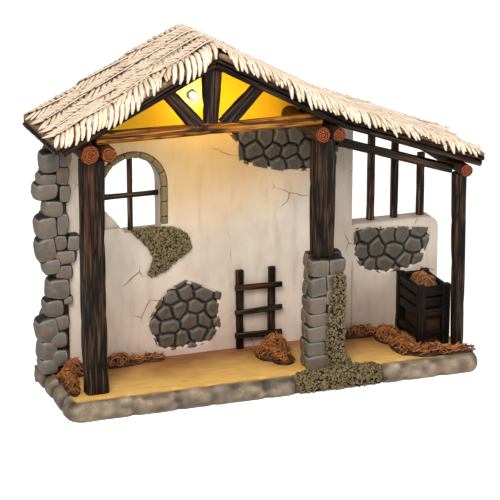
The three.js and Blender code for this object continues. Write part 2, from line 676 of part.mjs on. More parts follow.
function pier() {
  const middleY = PIER_FRONT + PIER_DEPTH / 2;
  const rise = (PIER_TOP_Z - FLOOR_Z) / PIER_DRAWN_HEIGHT;
  const stones = PIER_STONES.map(([x, z, wide, tall], i) => {
    const deep = PIER_DEPTH + spread(i, 1);
    const middleZ = FLOOR_Z + (z - FLOOR_Z) * rise;
    const middleX = x + PIER_X - PIER_DRAWN_X;
    return stone(middleX, middleY, middleZ, wide * 1.09, deep, tall * rise * 1.1, i + 100, 4);
  });
  const side = PIER_WIDTH / 2 + 2;
  const core = block([PIER_X - 6, PIER_X + 6], [middleY - 6, middleY + 6], [FLOOR_Z + FIT, PIER_TOP_Z]);
  return cut(join([core, ...stones]), [
    block([-100, 200], [-200, 200], [0, FLOOR_Z + FIT]),
    block([-100, 200], [-200, 200], [PIER_TOP_Z, 400]),
    block([PIER_X + side, PIER_X + side + 30], [-200, 200], [0, 400]),
  ]);
}

// Ivy that climbs the pier's right front corner and spreads over the base's edge.
function pierIvy() {
  const right = PIER_X + PIER_WIDTH / 2 + 2;
  const edge = BASE_FRONT - IVY_BED_REACH;
  const stones = [];
  for (let i = 0; i < 6; i++) {
    const z = FLOOR_Z + 6 + i * 16;
    const wide = 23 - i * 1.8;
    stones.push(stone(right - 6 + i * 0.8 + spread(i + 2, 1.2), PIER_FRONT - 0.5, z, wide, 11, 23, i + 120));
  }
  for (let i = 0; i < 3; i++) {
    stones.push(stone(right + 1.5, PIER_FRONT + 6, FLOOR_Z + 14 + i * 25, 9, 18 - i * 3, 31, i + 130));
  }
  const clumps = [[26, 25, 21], [42, 24, 23], [59, 28, 26], [77, 25, 25], [93, 25, 22]];
  clumps.forEach(([x, wide, tall], i) => {
    const z = FLOOR_Z * 0.6 + spread(i, 1);
    stones.push(stone(x, edge + 1.5, z, wide, 16 + spread(i + 4, 1), tall, i + 140));
  });
  const mat = block([IVY_BED[0] + 4, IVY_BED[1] - 4], [edge - 4, edge], [1, FLOOR_Z + 1]);
  const reach = PIER_WIDTH / 2 + 2 + FIT;
  const pierRoom = block([PIER_X - reach, PIER_X + reach],
    [PIER_FRONT - 0.7 - FIT, PIER_FRONT + PIER_DEPTH + 9], [0, 400]);
  const bedRoom = block([-200, 300], [edge - FIT, 200], [-50, FLOOR_Z + FIT]);
  const floorRoom = block([-200, 300], [-200, 200], [-50, 1]);
  const sideRooms = [
    block([-200, IVY_BED[0] + FIT + 1.2], [-200, 200], [-50, 400]),
    block([IVY_BED[1] - FIT - 1.2, 400], [-200, 200], [-50, 400]),
  ];
  return cut(join([mat, ...stones]), [pierRoom, bedRoom, floorRoom, ...sideRooms]);
}

// Logs: the radius of one that lies on a post and carries a rafter
function logBetween(x, seatZ) {
  const lean = Math.hypot(1, x < RIDGE_X ? slope(LEFT_PITCH) : slope(RIGHT_PITCH));
  return (rafterZ(x) - 2 * FIT - seatZ) / (1 + lean);
}
const LOG_LEFT_OUTER_R = logBetween(LOG_LEFT_OUTER_X, POST_LEFT_Z);
const LOG_CENTER_RIGHT_R = logBetween(LOG_CENTER_RIGHT_X, POST_CENTER_Z);
const TIE_FOOT_Z = POST_LEFT_Z + 2 * FIT + 2 * LOG_LEFT_INNER_R;
const LOG_CENTER_LEFT_R = (TIE_FOOT_Z - 2 * FIT - POST_CENTER_Z) / 2;
const LOG_RIGHT_Z = rafterZ(LOG_RIGHT_X) - FIT - LOG_RIGHT_R * Math.hypot(1, slope(LEANTO_PITCH));
const POST_RIGHT_Z = LOG_RIGHT_Z - LOG_RIGHT_R - FIT;
const TIE_TOP_Z = TIE_FOOT_Z + TIE_HEIGHT;

const log = (x, seatZ, radius, back = WALL_FRONT - FIT) =>
  barY(x, seatZ + FIT + radius, radius, LOG_FRONT, back, 16);

// Roof carpentry
function roofStrip(from, to, under, over, front, back) {
  const bends = [RIDGE_X, KINK_X].filter((x) => x > from + 1 && x < to - 1);
  const xs = [from, ...bends, to];
  const lower = xs.map((x) => [x, under(x)]);
  const upper = xs.map((x) => [x, over(x)]).reverse();
  return panel([...lower, ...upper], front, back);
}

const rafter = (from, to) => roofStrip(
  from, to, rafterZ, (x) => rafterZ(x) + RAFTER_DEPTH, RAFTER_FRONT, RAFTER_FRONT + RAFTER_WIDTH);

function tieBeam() {
  const top = TIE_TOP_Z;
  const reach = (x) => Math.min(top, rafterZ(x) - FIT);
  const leftBend = RIDGE_X - (RIDGE_Z - FIT - top) / slope(LEFT_PITCH);
  const rightBend = RIDGE_X + (RIDGE_Z - FIT - top) / slope(RIGHT_PITCH);
  return panel([
    [TIE_LEFT, TIE_FOOT_Z], [TIE_RIGHT, TIE_FOOT_Z], [TIE_RIGHT, reach(TIE_RIGHT)],
    [rightBend, top], [leftBend, top], [TIE_LEFT, reach(TIE_LEFT)],
  ], TRUSS_FRONT, TRUSS_FRONT + TRUSS_THICKNESS);
}

const trussMember = (points) => panel(points, TRUSS_FRONT + 0.5, TRUSS_FRONT + TRUSS_THICKNESS - 0.5);
const underRafter = (x) => [x, rafterZ(x) - FIT];

const kingPost = () => trussMember([
  [KING_FOOT_LEFT, TIE_TOP_Z + FIT], [KING_FOOT_RIGHT, TIE_TOP_Z + FIT],
  underRafter(KING_HEAD_RIGHT), underRafter(RIDGE_X), underRafter(KING_HEAD_LEFT),
]);
const braceLeft = () => trussMember([
  [BRACE_LEFT_FOOT, TIE_TOP_Z + FIT], [KING_FOOT_LEFT - FIT, TIE_TOP_Z + FIT],
  [KING_FOOT_LEFT - FIT - 1, TIE_TOP_Z + 4], underRafter(BRACE_LEFT_HEAD[1]), underRafter(BRACE_LEFT_HEAD[0]),
]);
const braceRight = () => trussMember([
  [KING_FOOT_RIGHT + FIT + 0.6, TIE_TOP_Z + FIT], [BRACE_RIGHT_FOOT, TIE_TOP_Z + FIT],
  underRafter(BRACE_RIGHT_HEAD[1]), underRafter(BRACE_RIGHT_HEAD[0]),
]);

function leantoBeam() {
  const left = POST_CENTER_X + POST_WIDTH / 2 + FIT;
  const right = LOG_RIGHT_X - LOG_RIGHT_R - FIT;
  const foot = POST_RIGHT_Z + FIT;
  const seat = POST_RIGHT_X - POST_RIGHT_TOP_WIDTH / 2;
  return panel([
    [left, foot + LEANTO_BEAM_RISE], [seat, foot], [right, foot],
    [right, foot + LEANTO_BEAM_HEIGHT], [left, foot + LEANTO_BEAM_RISE + LEANTO_BEAM_HEIGHT],
  ], LEANTO_BEAM_FRONT, LEANTO_BEAM_FRONT + LEANTO_BEAM_DEPTH);
}

// Palm thatch: fronds lie like shingles, each with leaflets that sweep back from its midrib, and a
// fringe of leaflets hangs over the front edge
function frondOutline(length, width, leaflets) {
  const right = [];
  const step = length / leaflets;
  for (let i = 0; i < leaflets; i++) {
    const share = (i + 0.5) / leaflets;
    const reach = (width / 2) * Math.sin(Math.PI * (0.16 + 0.78 * share)) ** 0.8;
    right.push([reach * 0.56, i * step], [reach, (i + 1.2) * step]);
  }
  const left = right.map(([x, y]) => [-x, y]).reverse();
  return outline([...right, [0, length * 1.12], ...left]);
}

// A frond with its tip down the slope at (x, y), its stem buried in the thatch short of the ridge.
function frond(tipX, y, side, seed) {
  const scale = Math.min(0.92 + chance(seed) * 0.14, (Math.abs(tipX - RIDGE_X) - 4) / FROND_LENGTH);
  const flat = { depth: FROND_THICKNESS, bevelEnabled: false };
  const leaf = new THREE.ExtrudeGeometry(
    frondOutline(FROND_LENGTH * scale, FROND_WIDTH * Math.max(scale, 0.8), FROND_LEAFLETS), flat);
  leaf.rotateX(Math.asin(FROND_LIFT / FROND_LENGTH));
  leaf.rotateZ(-side * (Math.PI / 2 + 0.08) + spread(seed + 1, 0.12));
  const run = 20;
  const fall = (thatchTopZ(tipX) - thatchTopZ(tipX - side * run)) / (side * run);
  leaf.rotateY(-Math.atan(fall));
  const stemX = tipX - side * FROND_LENGTH * scale * Math.cos(Math.atan(fall));
  const stemZ = thatchTopZ(tipX) + fall * (stemX - tipX);
  return solid(leaf.translate(stemX, y, stemZ - FROND_THICKNESS + 0.2));
}

function fringe(from, to, side, seed) {
  const teeth = Math.round((to - from) / 6);
  const step = (to - from) / teeth;
  const lower = [];
  for (let i = 0; i < teeth; i++) {
    const x = from + i * step;
    const drop = FRINGE_DROP * (0.35 + 0.85 * Math.abs(Math.sin(i * 0.42 + seed))) + spread(i + seed, 1);
    lower.push([x, thatchTopZ(x) - 7], [x + step * (0.5 + side * 0.4), thatchTopZ(x) - 7 - drop]);
  }
  lower.push([to, thatchTopZ(to) - 7]);
  const bends = [KINK_X].filter((x) => x > from && x < to);
  const upper = [to, ...bends, from].map((x) => [x, thatchTopZ(x) - 0.4]);
  return panel([...lower, ...upper], ROOF_FRONT - FIT - FRINGE_THICKNESS, ROOF_FRONT - FIT);
}

function thatch(from, to, side, seed) {
  const slab = roofStrip(from, to, thatchZ, thatchTopZ, ROOF_FRONT - FIT - 1, ROOF_BACK);
  const bodies = [slab, fringe(from, to, side, seed)];
  const rows = Math.floor((to - from) / FROND_ROW);
  const across = (ROOF_BACK - ROOF_FRONT) / FROND_COLUMNS;
  for (let row = 0; row < rows; row++) {
    for (let column = 0; column < FROND_COLUMNS; column++) {
      const key = seed + row * 7 + column;
      const tip = side < 0 ? from + 8 + row * FROND_ROW : to - 8 - row * FROND_ROW;
      const y = ROOF_FRONT + across * (column + 0.5) + (row % 2 ? 3 : -3);
      bodies.push(frond(tip, y, side, key));
    }
  }
  const bounds = block([from, to], [ROOF_FRONT - FIT - FRINGE_THICKNESS - 2, ROOF_BACK], [100, 500]);
  const under = roofStrip(from - 5, to + 5, () => 100, thatchZ, ROOF_FRONT - FIT, ROOF_BACK + 30);
  return join(bodies).intersect(bounds).subtract(under);
}

// Ladder
const ladderRail = (x) => block(
  [x - LADDER_RAIL / 2, x + LADDER_RAIL / 2],
  [WALL_FRONT - FIT - LADDER_RAIL_DEPTH, WALL_FRONT - FIT], [WALL_FOOT_Z, LADDER_TOP_Z]);
function ladderRung(z, i) {
  const back = WALL_FRONT - 2 * FIT - LADDER_RAIL_DEPTH;
  const rung = new THREE.BoxGeometry(RUNG_RIGHT - RUNG_LEFT + spread(i, 2), RUNG_DEPTH, RUNG_HEIGHT);
  rung.rotateY(spread(i + 2, 0.03));
  return solid(rung.translate((RUNG_LEFT + RUNG_RIGHT) / 2 + spread(i + 1, 1.5), back - RUNG_DEPTH / 2, z));
}

// Manger: two plank ends, two plank sides and the hay between them
const MANGER_BACK = WALL_FRONT - COBBLE_PROUD - FIT;
const railSpan = ([low, high]) => [WALL_FOOT_Z + low, WALL_FOOT_Z + high];

function mangerEnd(near, outward) {
  const far = near + MANGER_LEG_DEPTH;
  const tall = [WALL_FOOT_Z, WALL_FOOT_Z + MANGER_HEIGHT];
  const face = outward < 0 ? near + 1.2 : far - 1.2 - MANGER_BOARD;
  const boards = MANGER_RAILS.map((rail, i) => block(
    [MANGER_LEFT + 1, MANGER_RIGHT - 1], [face + (i % 2) * 0.4, face + MANGER_BOARD], railSpan(rail)));
  return join([
    block([MANGER_LEFT, MANGER_LEFT + MANGER_LEG], [near, far], tall),
    block([MANGER_RIGHT - MANGER_LEG, MANGER_RIGHT], [near, far], tall),
    ...boards,
  ]);
}

function mangerSide(left) {
  const span = [MANGER_FRONT + MANGER_LEG_DEPTH + FIT, MANGER_BACK - MANGER_LEG_DEPTH - FIT];
  const boards = MANGER_RAILS.map((rail, i) => block(
    [left + (i % 2) * 0.4, left + MANGER_BOARD], span, railSpan(rail)));
  const middle = (span[0] + span[1]) / 2;
  const batten = block([left + 1, left + MANGER_BOARD - 1], [middle - 3, middle + 3],
    [WALL_FOOT_Z + MANGER_RAILS[0][0], WALL_FOOT_Z + MANGER_RAILS[3][1]]);
  return join([batten, ...boards]);
}

function mangerHay() {
  const inset = MANGER_BOARD + 1 + FIT;
  const across = [MANGER_LEFT + inset + 1.4, MANGER_RIGHT - inset - 1.4];
  const along = [MANGER_FRONT + MANGER_LEG_DEPTH + FIT, MANGER_BACK - MANGER_LEG_DEPTH - FIT];
  const level = WALL_FOOT_Z + MANGER_HEIGHT - 9;
  const bed = block(across, along, [WALL_FOOT_Z, level]);
  const heap = stone((across[0] + across[1]) / 2, (along[0] + along[1]) / 2, level, across[1] - across[0] - 1,
    along[1] - along[0] - 1, 24, 150, 4);
  return join([bed, heap]);
}

// Straw: low mounds that lie on the floor, cut flat underneath.
function mounds(list, seed, rooms = []) {
  const lying = list.map(([x, y, wide, deep, tall], i) =>
    stone(x, y, WALL_FOOT_Z, wide, deep, tall * 2, seed + i, 2.3));
  return cut(join(lying), [
    block([-400, 400], [-200, 200], [-80, WALL_FOOT_Z]),
    block([-400, 400], [WALL_FRONT - FIT, 200], [-80, 400]),
    ...rooms,
  ]);
}

// Lamp, lead and battery box
function lampHolder() {
  const r = LAMP_COLLAR_R;
  const front = WALL_FRONT - FIT - LAMP_COLLAR;
  const profile = [
    [0, 0], [r - 0.6, 0], [r, 0.6], [r, LAMP_COLLAR], [LAMP_STEM_R, LAMP_COLLAR],
    [LAMP_STEM_R, LAMP_COLLAR + LAMP_STEM], [0, LAMP_COLLAR + LAMP_STEM],
  ].map(([a, b]) => new THREE.Vector2(a, b));
  return solid(new THREE.LatheGeometry(profile, 16).translate(LAMP_X, front, LAMP_Z));
}

function lampBulb() {
  const back = WALL_FRONT - 2 * FIT - LAMP_COLLAR;
  const profile = [];
  for (let i = 0; i <= 4; i++) {
    const turn = (Math.PI / 2) * (i / 4);
    profile.push(new THREE.Vector2(LAMP_R * Math.sin(turn), LAMP_R * (1 - Math.cos(turn))));
  }
  const rim = [
    [LAMP_R, LAMP_LENGTH - 1.4], [LAMP_R + 0.5, LAMP_LENGTH - 1.4],
    [LAMP_R + 0.5, LAMP_LENGTH], [0, LAMP_LENGTH],
  ];
  profile.push(...rim.map(([a, b]) => new THREE.Vector2(a, b)));
  return solid(new THREE.LatheGeometry(profile, 14).translate(LAMP_X, back - LAMP_LENGTH, LAMP_Z));
}

function lampLead() {
  const start = WALL_FRONT + LAMP_STEM;
  const deepY = WALL_BACK - LEAD_GROOVE_DEPTH / 2;
  const end = BATTERY.top + FIT;
  const point = (y, z) => new THREE.Vector3(LAMP_X, y, z);
  const path = new THREE.CurvePath();
  path.add(new THREE.LineCurve3(point(start, LAMP_Z), point(deepY - LEAD_BEND, LAMP_Z)));
  path.add(new THREE.QuadraticBezierCurve3(
    point(deepY - LEAD_BEND, LAMP_Z), point(deepY, LAMP_Z), point(deepY, LAMP_Z - LEAD_BEND)));
  path.add(new THREE.LineCurve3(point(deepY, LAMP_Z - LEAD_BEND), point(deepY, end)));
  const section = new THREE.Shape();
  section.absarc(0, 0, LEAD_R, 0, 2 * Math.PI);
  const steps = Math.round(path.getLength() / (6 * LEAD_R));
  return solid(new THREE.ExtrudeGeometry(section, { steps, extrudePath: path, curveSegments: 4 }));
}

function batteryBox() {
  const { left, right, bottom, top, front, back } = BATTERY;
  const shell = block([left, right], [front, back], [bottom, top]);
  const bay = block([BAY_LEFT, BAY_RIGHT], [CELL_MIDDLE_Y - CELL_R - CELL_CLEARANCE / 2, back + 5],
    [BATTERY_Z - CELL_BAY_HEIGHT / 2, BATTERY_Z + CELL_BAY_HEIGHT / 2]);
  const doorRoom = block([DOOR.left - FIT, DOOR.right + FIT], [back - DOOR_THICKNESS - FIT, back + 5],
    [DOOR.hingeZ - DOOR_THICKNESS / 2 - FIT, DOOR.top + FIT]);
  const pinHole = barX(DOOR.hingeY, DOOR.hingeZ, DOOR_PIN_R + FIT,
    DOOR.left - DOOR_PIN - FIT, DOOR.right + DOOR_PIN + FIT, 16);
  const switchRoom = block([SWITCH_LEFT, SWITCH_LEFT + SWITCH_BAY], [back - 6.3, back + 5],
    [BATTERY_Z - SWITCH_BAY_HEIGHT / 2, BATTERY_Z + SWITCH_BAY_HEIGHT / 2]);
  const nailRoom = block([BATTERY_X - 5, BATTERY_X + 5], [back - 1.2, back + 5], [DOOR.top, top + 5]);
  return cut(shell, [bay, doorRoom, pinHole, switchRoom, nailRoom]);
}

// The door turns on two stub pins along its lower edge, which is rounded about the same line.
function batteryDoor() {
  const front = BATTERY.back - DOOR_THICKNESS;
  const plate = block([DOOR.left, DOOR.right], [front, BATTERY.back], [DOOR.hingeZ, DOOR.top]);
  const edge = barX(DOOR.hingeY, DOOR.hingeZ, DOOR_THICKNESS / 2, DOOR.left, DOOR.right, 16);
  const pins = barX(DOOR.hingeY, DOOR.hingeZ, DOOR_PIN_R, DOOR.left - DOOR_PIN, DOOR.right + DOOR_PIN, 16);
  const grips = [0, 1, 2].map((i) => block([BATTERY_X - 9, BATTERY_X + 9],
    [BATTERY.back - 0.6, BATTERY.back + 1], [DOOR.top - 5 + i * 1.5, DOOR.top - 4.3 + i * 1.5]));
  return cut(join([plate, edge, pins]), grips);
}

function switchSlider() {
  const tall = SWITCH_BAY_HEIGHT - 2 * FIT;
  const long = SWITCH_BAY - SWITCH_TRAVEL - 2 * FIT;
  const left = SWITCH_LEFT + FIT;
  const half = tall / 2;
  const sled = block(
    [left, left + long], [BATTERY.back - 6, BATTERY.back - 1.2], [BATTERY_Z - half, BATTERY_Z + half]);
  const middle = left + long / 2;
  const knob = block([middle - SWITCH_KNOB / 2, middle + SWITCH_KNOB / 2],
    [BATTERY.back - 2, BATTERY.back + 1.2], [BATTERY_Z - half + 0.8, BATTERY_Z + half - 0.8]);
  return join([sled, knob]);
}

const CELL_Z = [BATTERY_Z - CELL_R - CELL_CLEARANCE / 2, BATTERY_Z + CELL_R + CELL_CLEARANCE / 2];
const SPRING_ROOM = CELL_BAY_LENGTH - CELL_LENGTH - CELL_TIP - 2 * CONTACT_THICKNESS - 2 * FIT;

// A cell with its button end to the right (side 1) or to the left (side -1).
function cell(z, side) {
  const profile = [
    [0, 0], [CELL_R - 0.4, 0], [CELL_R, 0.5], [CELL_R, CELL_LENGTH - 0.5], [CELL_R - 0.5, CELL_LENGTH],
    [CELL_TIP_R, CELL_LENGTH], [CELL_TIP_R, CELL_LENGTH + CELL_TIP], [0, CELL_LENGTH + CELL_TIP],
  ].map(([a, b]) => new THREE.Vector2(a, b));
  const can = new THREE.LatheGeometry(profile, 12).rotateZ(side > 0 ? -Math.PI / 2 : Math.PI / 2);
  const start = BATTERY_X - side * (CELL_BAY_LENGTH / 2 - CONTACT_THICKNESS - FIT - SPRING_ROOM);
  return solid(can.translate(start, CELL_MIDDLE_Y, z));
}

// A leaf contact across the cell ends in its rows, with a coned spring to each flat end.
function contact(x, inward, rows) {
  const reach = CELL_R - 1;
  const low = Math.min(...rows) - reach;
  const high = Math.max(...rows) + reach;
  const leaf = inward > 0 ? [x, x + CONTACT_THICKNESS] : [x - CONTACT_THICKNESS, x];
  const plate = block(leaf, [CELL_MIDDLE_Y - reach, CELL_MIDDLE_Y + reach], [low, high]);
  const springs = rows.filter((z) => (z === CELL_Z[0]) === inward < 0).map((z) => {
    const length = SPRING_ROOM - FIT + 0.2;
    const cone = new THREE.CylinderGeometry(1.6, 3.2, length, 10).rotateZ(-inward * Math.PI / 2);
    return solid(cone.translate(x + inward * (CONTACT_THICKNESS - 0.2 + length / 2), CELL_MIDDLE_Y, z));
  });
  return join([plate, ...springs]);
}

// Finishes
const finish = (color, roughness, metalness = 0) => ({ color, roughness, metalness });
const PLASTER = finish(0xd9cdc0, 0.9);
const GROUND = finish(0xb98a52, 0.9);
const ROCK = finish(0x6e6860, 0.85);
const TIMBER = finish(0x2f221a, 0.7);
const TIE_WOOD = finish(0x8a5528, 0.7);
const LOG_WOOD = finish(0xa85c30, 0.75);
const PALM = finish(0xe3cfb4, 0.85);
const MOSS = finish(0x6b5b33, 0.95);
const STRAW = finish(0xb8763c, 0.9);
const LENS = finish(0xffe9a8, 0.2);
const PLASTIC = finish(0x1c1c1e, 0.45);
const METAL = finish(0xb9bcc0, 0.3, 1);
const JACKET = finish(0x2d5f8f, 0.4);

const stable = new THREE.Group();
function add(name, body, look) {
  const mesh = new THREE.Mesh(geometryOf(body), new THREE.MeshStandardMaterial(look));
  mesh.name = name;
  stable.add(mesh);
}

add("base_slab", baseSlab(), GROUND);
add("back_wall", backWall(), PLASTER);
add("low_wall", lowWall(), PLASTER);
add("left_end_stones", leftEndStones(), ROCK);
add("patch_stones_center", fieldstone(PATCH_CENTER, 17.5, 1), ROCK);
add("patch_stones_top", fieldstone(PATCH_TOP, 18.5, 40), ROCK);
add("patch_stones_low", fieldstone(PATCH_LOW, 18.5, 90), ROCK);
add("window_arch", windowArch(), ROCK);
add("window_cross", windowCross(), TIMBER);
add("window_moss", windowMoss(), MOSS);

add("post_left", post(POST_LEFT_X, POST_MIDDLE_Y, POST_WIDTH, POST_DEPTH, WALL_FOOT_Z, POST_LEFT_Z), TIMBER);
add("post_center",
  post(POST_CENTER_X, POST_MIDDLE_Y, POST_WIDTH, POST_DEPTH, PIER_TOP_Z + FIT, POST_CENTER_Z), TIMBER);
add("post_right", post(POST_RIGHT_X, POST_FRONT + POST_RIGHT_TOP_WIDTH / 2, POST_RIGHT_TOP_WIDTH,
  POST_RIGHT_TOP_WIDTH, WALL_FOOT_Z, POST_RIGHT_Z, POST_RIGHT_FOOT_WIDTH / POST_RIGHT_TOP_WIDTH), TIMBER);
add("pier_center", pier(), ROCK);
add("pier_ivy", pierIvy(), MOSS);

add("log_left_outer", log(LOG_LEFT_OUTER_X, POST_LEFT_Z, LOG_LEFT_OUTER_R), LOG_WOOD);
add("log_left_inner", log(LOG_LEFT_INNER_X, POST_LEFT_Z, LOG_LEFT_INNER_R), LOG_WOOD);
add("log_center_left",
  log(LOG_CENTER_LEFT_X, POST_CENTER_Z, LOG_CENTER_LEFT_R, WALL_FRONT - COBBLE_PROUD - FIT), LOG_WOOD);
add("log_center_right", log(LOG_CENTER_RIGHT_X, POST_CENTER_Z, LOG_CENTER_RIGHT_R), LOG_WOOD);
add("log_right", log(LOG_RIGHT_X, POST_RIGHT_Z, LOG_RIGHT_R, LOG_RIGHT_BACK), LOG_WOOD);

add("tie_beam", tieBeam(), TIE_WOOD);
add("king_post", kingPost(), TIMBER);
add("brace_left", braceLeft(), TIMBER);
add("brace_right", braceRight(), TIMBER);
add("rafter_left", rafter(LEFT_EAVE_X + RAFTER_SETBACK, RIDGE_X - FIT / 2), TIMBER);
add("rafter_right", rafter(RIDGE_X + FIT / 2, KINK_X), TIMBER);
add("rafter_leanto", rafter(KINK_X + FIT, RIGHT_EAVE_X - 1), TIMBER);
add("leanto_beam", leantoBeam(), TIMBER);

const deck = (from, to) => roofStrip(
  from, to, deckZ, (x) => deckZ(x) + DECK_THICKNESS, ROOF_FRONT, ROOF_BACK);
add("deck_left", deck(LEFT_EAVE_X, RIDGE_X - FIT / 2), TIMBER);
add("deck_right", deck(RIDGE_X + FIT / 2, RIGHT_EAVE_X), TIMBER);
add("thatch_left", thatch(LEFT_EAVE_X, RIDGE_X - FIT / 2, -1, 3), PALM);
add("thatch_right", thatch(RIDGE_X + FIT / 2, RIGHT_EAVE_X, 1, 60), PALM);

SLAT_X.forEach((x, i) => {
  const last = i === SLAT_X.length - 1;
  const half = SLAT_WIDTH / 2;
  const deep = SLAT_DEPTH / 2;
  const top = last ? POST_RIGHT_Z : deckZ(x + half) - FIT;
  const chamfer = SLAT_WIDTH * 0.15;
  const shape = outline([
    [-half + chamfer, -deep], [half - chamfer, -deep], [half, -deep + chamfer],
    [half, deep], [-half, deep], [-half, -deep + chamfer],
  ]);
  const bar = new THREE.ExtrudeGeometry(shape, { depth: top - LOW_WALL_Z - FIT, bevelEnabled: false });
  add(`slat_${i + 1}`, solid(bar.translate(x, SLAT_MIDDLE_Y, LOW_WALL_Z + FIT)), TIMBER);
});

add("ladder_rail_left", ladderRail(LADDER_LEFT), TIMBER);
add("ladder_rail_right", ladderRail(LADDER_RIGHT), TIMBER);
RUNG_Z.forEach((z, i) => add(`ladder_rung_${i + 1}`, ladderRung(z, i), TIMBER));

add("manger_front", mangerEnd(MANGER_FRONT, -1), TIMBER);
add("manger_back", mangerEnd(MANGER_BACK - MANGER_LEG_DEPTH, 1), TIMBER);
add("manger_side_left", mangerSide(MANGER_LEFT + 1), TIMBER);
add("manger_side_right", mangerSide(MANGER_RIGHT - MANGER_BOARD - 1), TIMBER);
add("manger_hay", mangerHay(), STRAW);

const postReach = POST_WIDTH / 2 + FIT;
const postLeftRoom = block(
  [POST_LEFT_X - postReach, POST_LEFT_X + postReach], [-100, POST_FRONT + POST_DEPTH + FIT], [0, 300]);
add("straw_left", mounds([[-187, 24, 24, 24, 12], [-199, 6, 18, 34, 7], [-202, -18, 14, 34, 5]], 160,
  [leftEndStones(FIT), postLeftRoom]), STRAW);
add("straw_back", mounds([[-140, 32, 34, 15, 8], [-104, 34, 26, 10, 5], [-122, 33, 26, 9, 4]], 170), STRAW);
add("straw_center", mounds([[20, 18, 30, 26, 14], [10, 6, 26, 34, 9], [18, -10, 22, 30, 5]], 180), STRAW);

const mangerRoom = block([MANGER_LEFT - FIT, MANGER_RIGHT + FIT], [MANGER_FRONT - FIT, 100], [0, 300]);
const postRightRoom = block([POST_RIGHT_X - POST_RIGHT_TOP_WIDTH / 2 - FIT, 300], [-100, 0], [0, 300]);
add("straw_right", mounds(
  [[118, 31, 40, 14, 8], [142, 14, 26, 40, 9], [146, -20, 26, 44, 7], [164, -40, 38, 20, 6]], 190,
  [mangerRoom, postRightRoom]), STRAW);

add("led_holder", lampHolder(), PLASTIC);
add("led_bulb", lampBulb(), LENS);
add("led_lead", lampLead(), PLASTIC);
add("battery_box", batteryBox(), PLASTIC);
add("battery_door", batteryDoor(), PLASTIC);
add("switch_slider", switchSlider(), PLASTIC);
add("cell_1", cell(CELL_Z[0], -1), JACKET);
add("cell_2", cell(CELL_Z[1], 1), JACKET);
add("contact_bridge", contact(BAY_LEFT + FIT / 2, 1, CELL_Z), METAL);
add("contact_plus", contact(BAY_RIGHT - FIT / 2, -1, [CELL_Z[1]]), METAL);
add("contact_minus", contact(BAY_RIGHT - FIT / 2, -1, [CELL_Z[0]]), METAL);

export default stable;
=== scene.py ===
# %% [markdown]
# # Looks for a lighted crib stable
# The shape and the moving parts of the stable come from its CAD model, which this script loads as a
# fixed frame in metres. Blender adds what a painter of cast resin adds: stones with dark joints, hewn
# timber, palm fronds, straw, moss, and the paint on all of them.

# %% Load the frame
import bmesh
import bpy
import math
import numpy as np
from functools import partial
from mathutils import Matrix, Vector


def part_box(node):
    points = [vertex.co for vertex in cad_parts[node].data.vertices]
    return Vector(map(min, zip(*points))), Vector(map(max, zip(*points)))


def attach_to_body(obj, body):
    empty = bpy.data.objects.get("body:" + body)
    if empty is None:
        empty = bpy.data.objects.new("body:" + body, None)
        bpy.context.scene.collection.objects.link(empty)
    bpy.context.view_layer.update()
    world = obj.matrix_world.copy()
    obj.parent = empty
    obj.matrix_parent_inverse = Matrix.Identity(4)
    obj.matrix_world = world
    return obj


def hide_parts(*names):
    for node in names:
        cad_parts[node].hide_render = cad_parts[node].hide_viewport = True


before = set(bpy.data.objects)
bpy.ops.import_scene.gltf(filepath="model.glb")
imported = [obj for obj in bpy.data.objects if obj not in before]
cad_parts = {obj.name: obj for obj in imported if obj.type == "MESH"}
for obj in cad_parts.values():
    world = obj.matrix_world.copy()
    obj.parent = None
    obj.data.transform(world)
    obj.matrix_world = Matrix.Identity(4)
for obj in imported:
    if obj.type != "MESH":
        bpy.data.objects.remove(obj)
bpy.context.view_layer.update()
bpy.context.scene.view_settings.view_transform = "Standard"
MM = 0.001

# %% [markdown]
# The camera comes first. It stands 20 degrees to the left of straight on and 17.5 degrees above, with
# a long lens, so that the posts stay nearly parallel and the thatch shows its top.

# %% Camera
target = np.array([0.002, 0.040, 0.120])
turn, lift, distance = math.radians(-20), math.radians(17.5), 2.4
backwards = np.array([math.sin(turn) * math.cos(lift), -math.cos(turn) * math.cos(lift), math.sin(lift)])
camera = bpy.data.objects.new("camera", bpy.data.cameras.new("camera"))
bpy.context.scene.collection.objects.link(camera)
bpy.context.scene.camera = camera
camera.location = target + backwards * distance
camera.rotation_euler = (math.pi / 2 - lift, 0, turn)
camera.data.lens = 172.8
camera.data.sensor_width = 36
print("camera at", [round(v, 3) for v in camera.location])

# %% [markdown]
# ## Numbers that look natural
# Cast stone and hewn wood are never quite regular. A smooth noise gives each point in space a value
# from 0 to 1: random numbers sit on the corners of a lattice, and the values between are blended.
# The same seed gives the same numbers on each run.

# %% Noise and chance
def lattice(cell, seed):
    """A random number from 0 to 1 for each whole-number corner: the fraction of a large sine."""
    wave = np.sin(cell @ np.array([12.9898, 78.233, 37.719]) + seed * 17.31) * 43758.5453
    return wave - np.floor(wave)


def noise(points, size, seed=0):
    """Smooth noise with a cell of the given size: the eight corners of a cell, blended by 3t^2 - 2t^3."""
    p = np.asarray(points, float) / size
    low = np.floor(p)
    t = p - low
    t = t * t * (3 - 2 * t)
    total = np.zeros(p.shape[:-1])
    for corner in np.ndindex(2, 2, 2):
        share = np.prod(np.where(np.array(corner) == 1, t, 1 - t), axis=-1)
        total += share * lattice(low + corner, seed)
    return total


def chance(seed):
    """The fraction of a sine. The CAD source uses the same one, so both place the same stones."""
    wave = np.sin(np.asarray(seed, float) * 127.1 + 311.7) * 43758.5453
    return wave - np.floor(wave)


def spread(seed, amount):
    """A number from -amount to +amount."""
    return (chance(seed) * 2 - 1) * amount


def xyz(*parts):
    """Arrays of x, y and z stacked as points."""
    return np.stack(np.broadcast_arrays(*parts), axis=-1).astype(float)


print("noise at the origin:", round(float(noise(np.zeros(3), 10, 1)), 3))

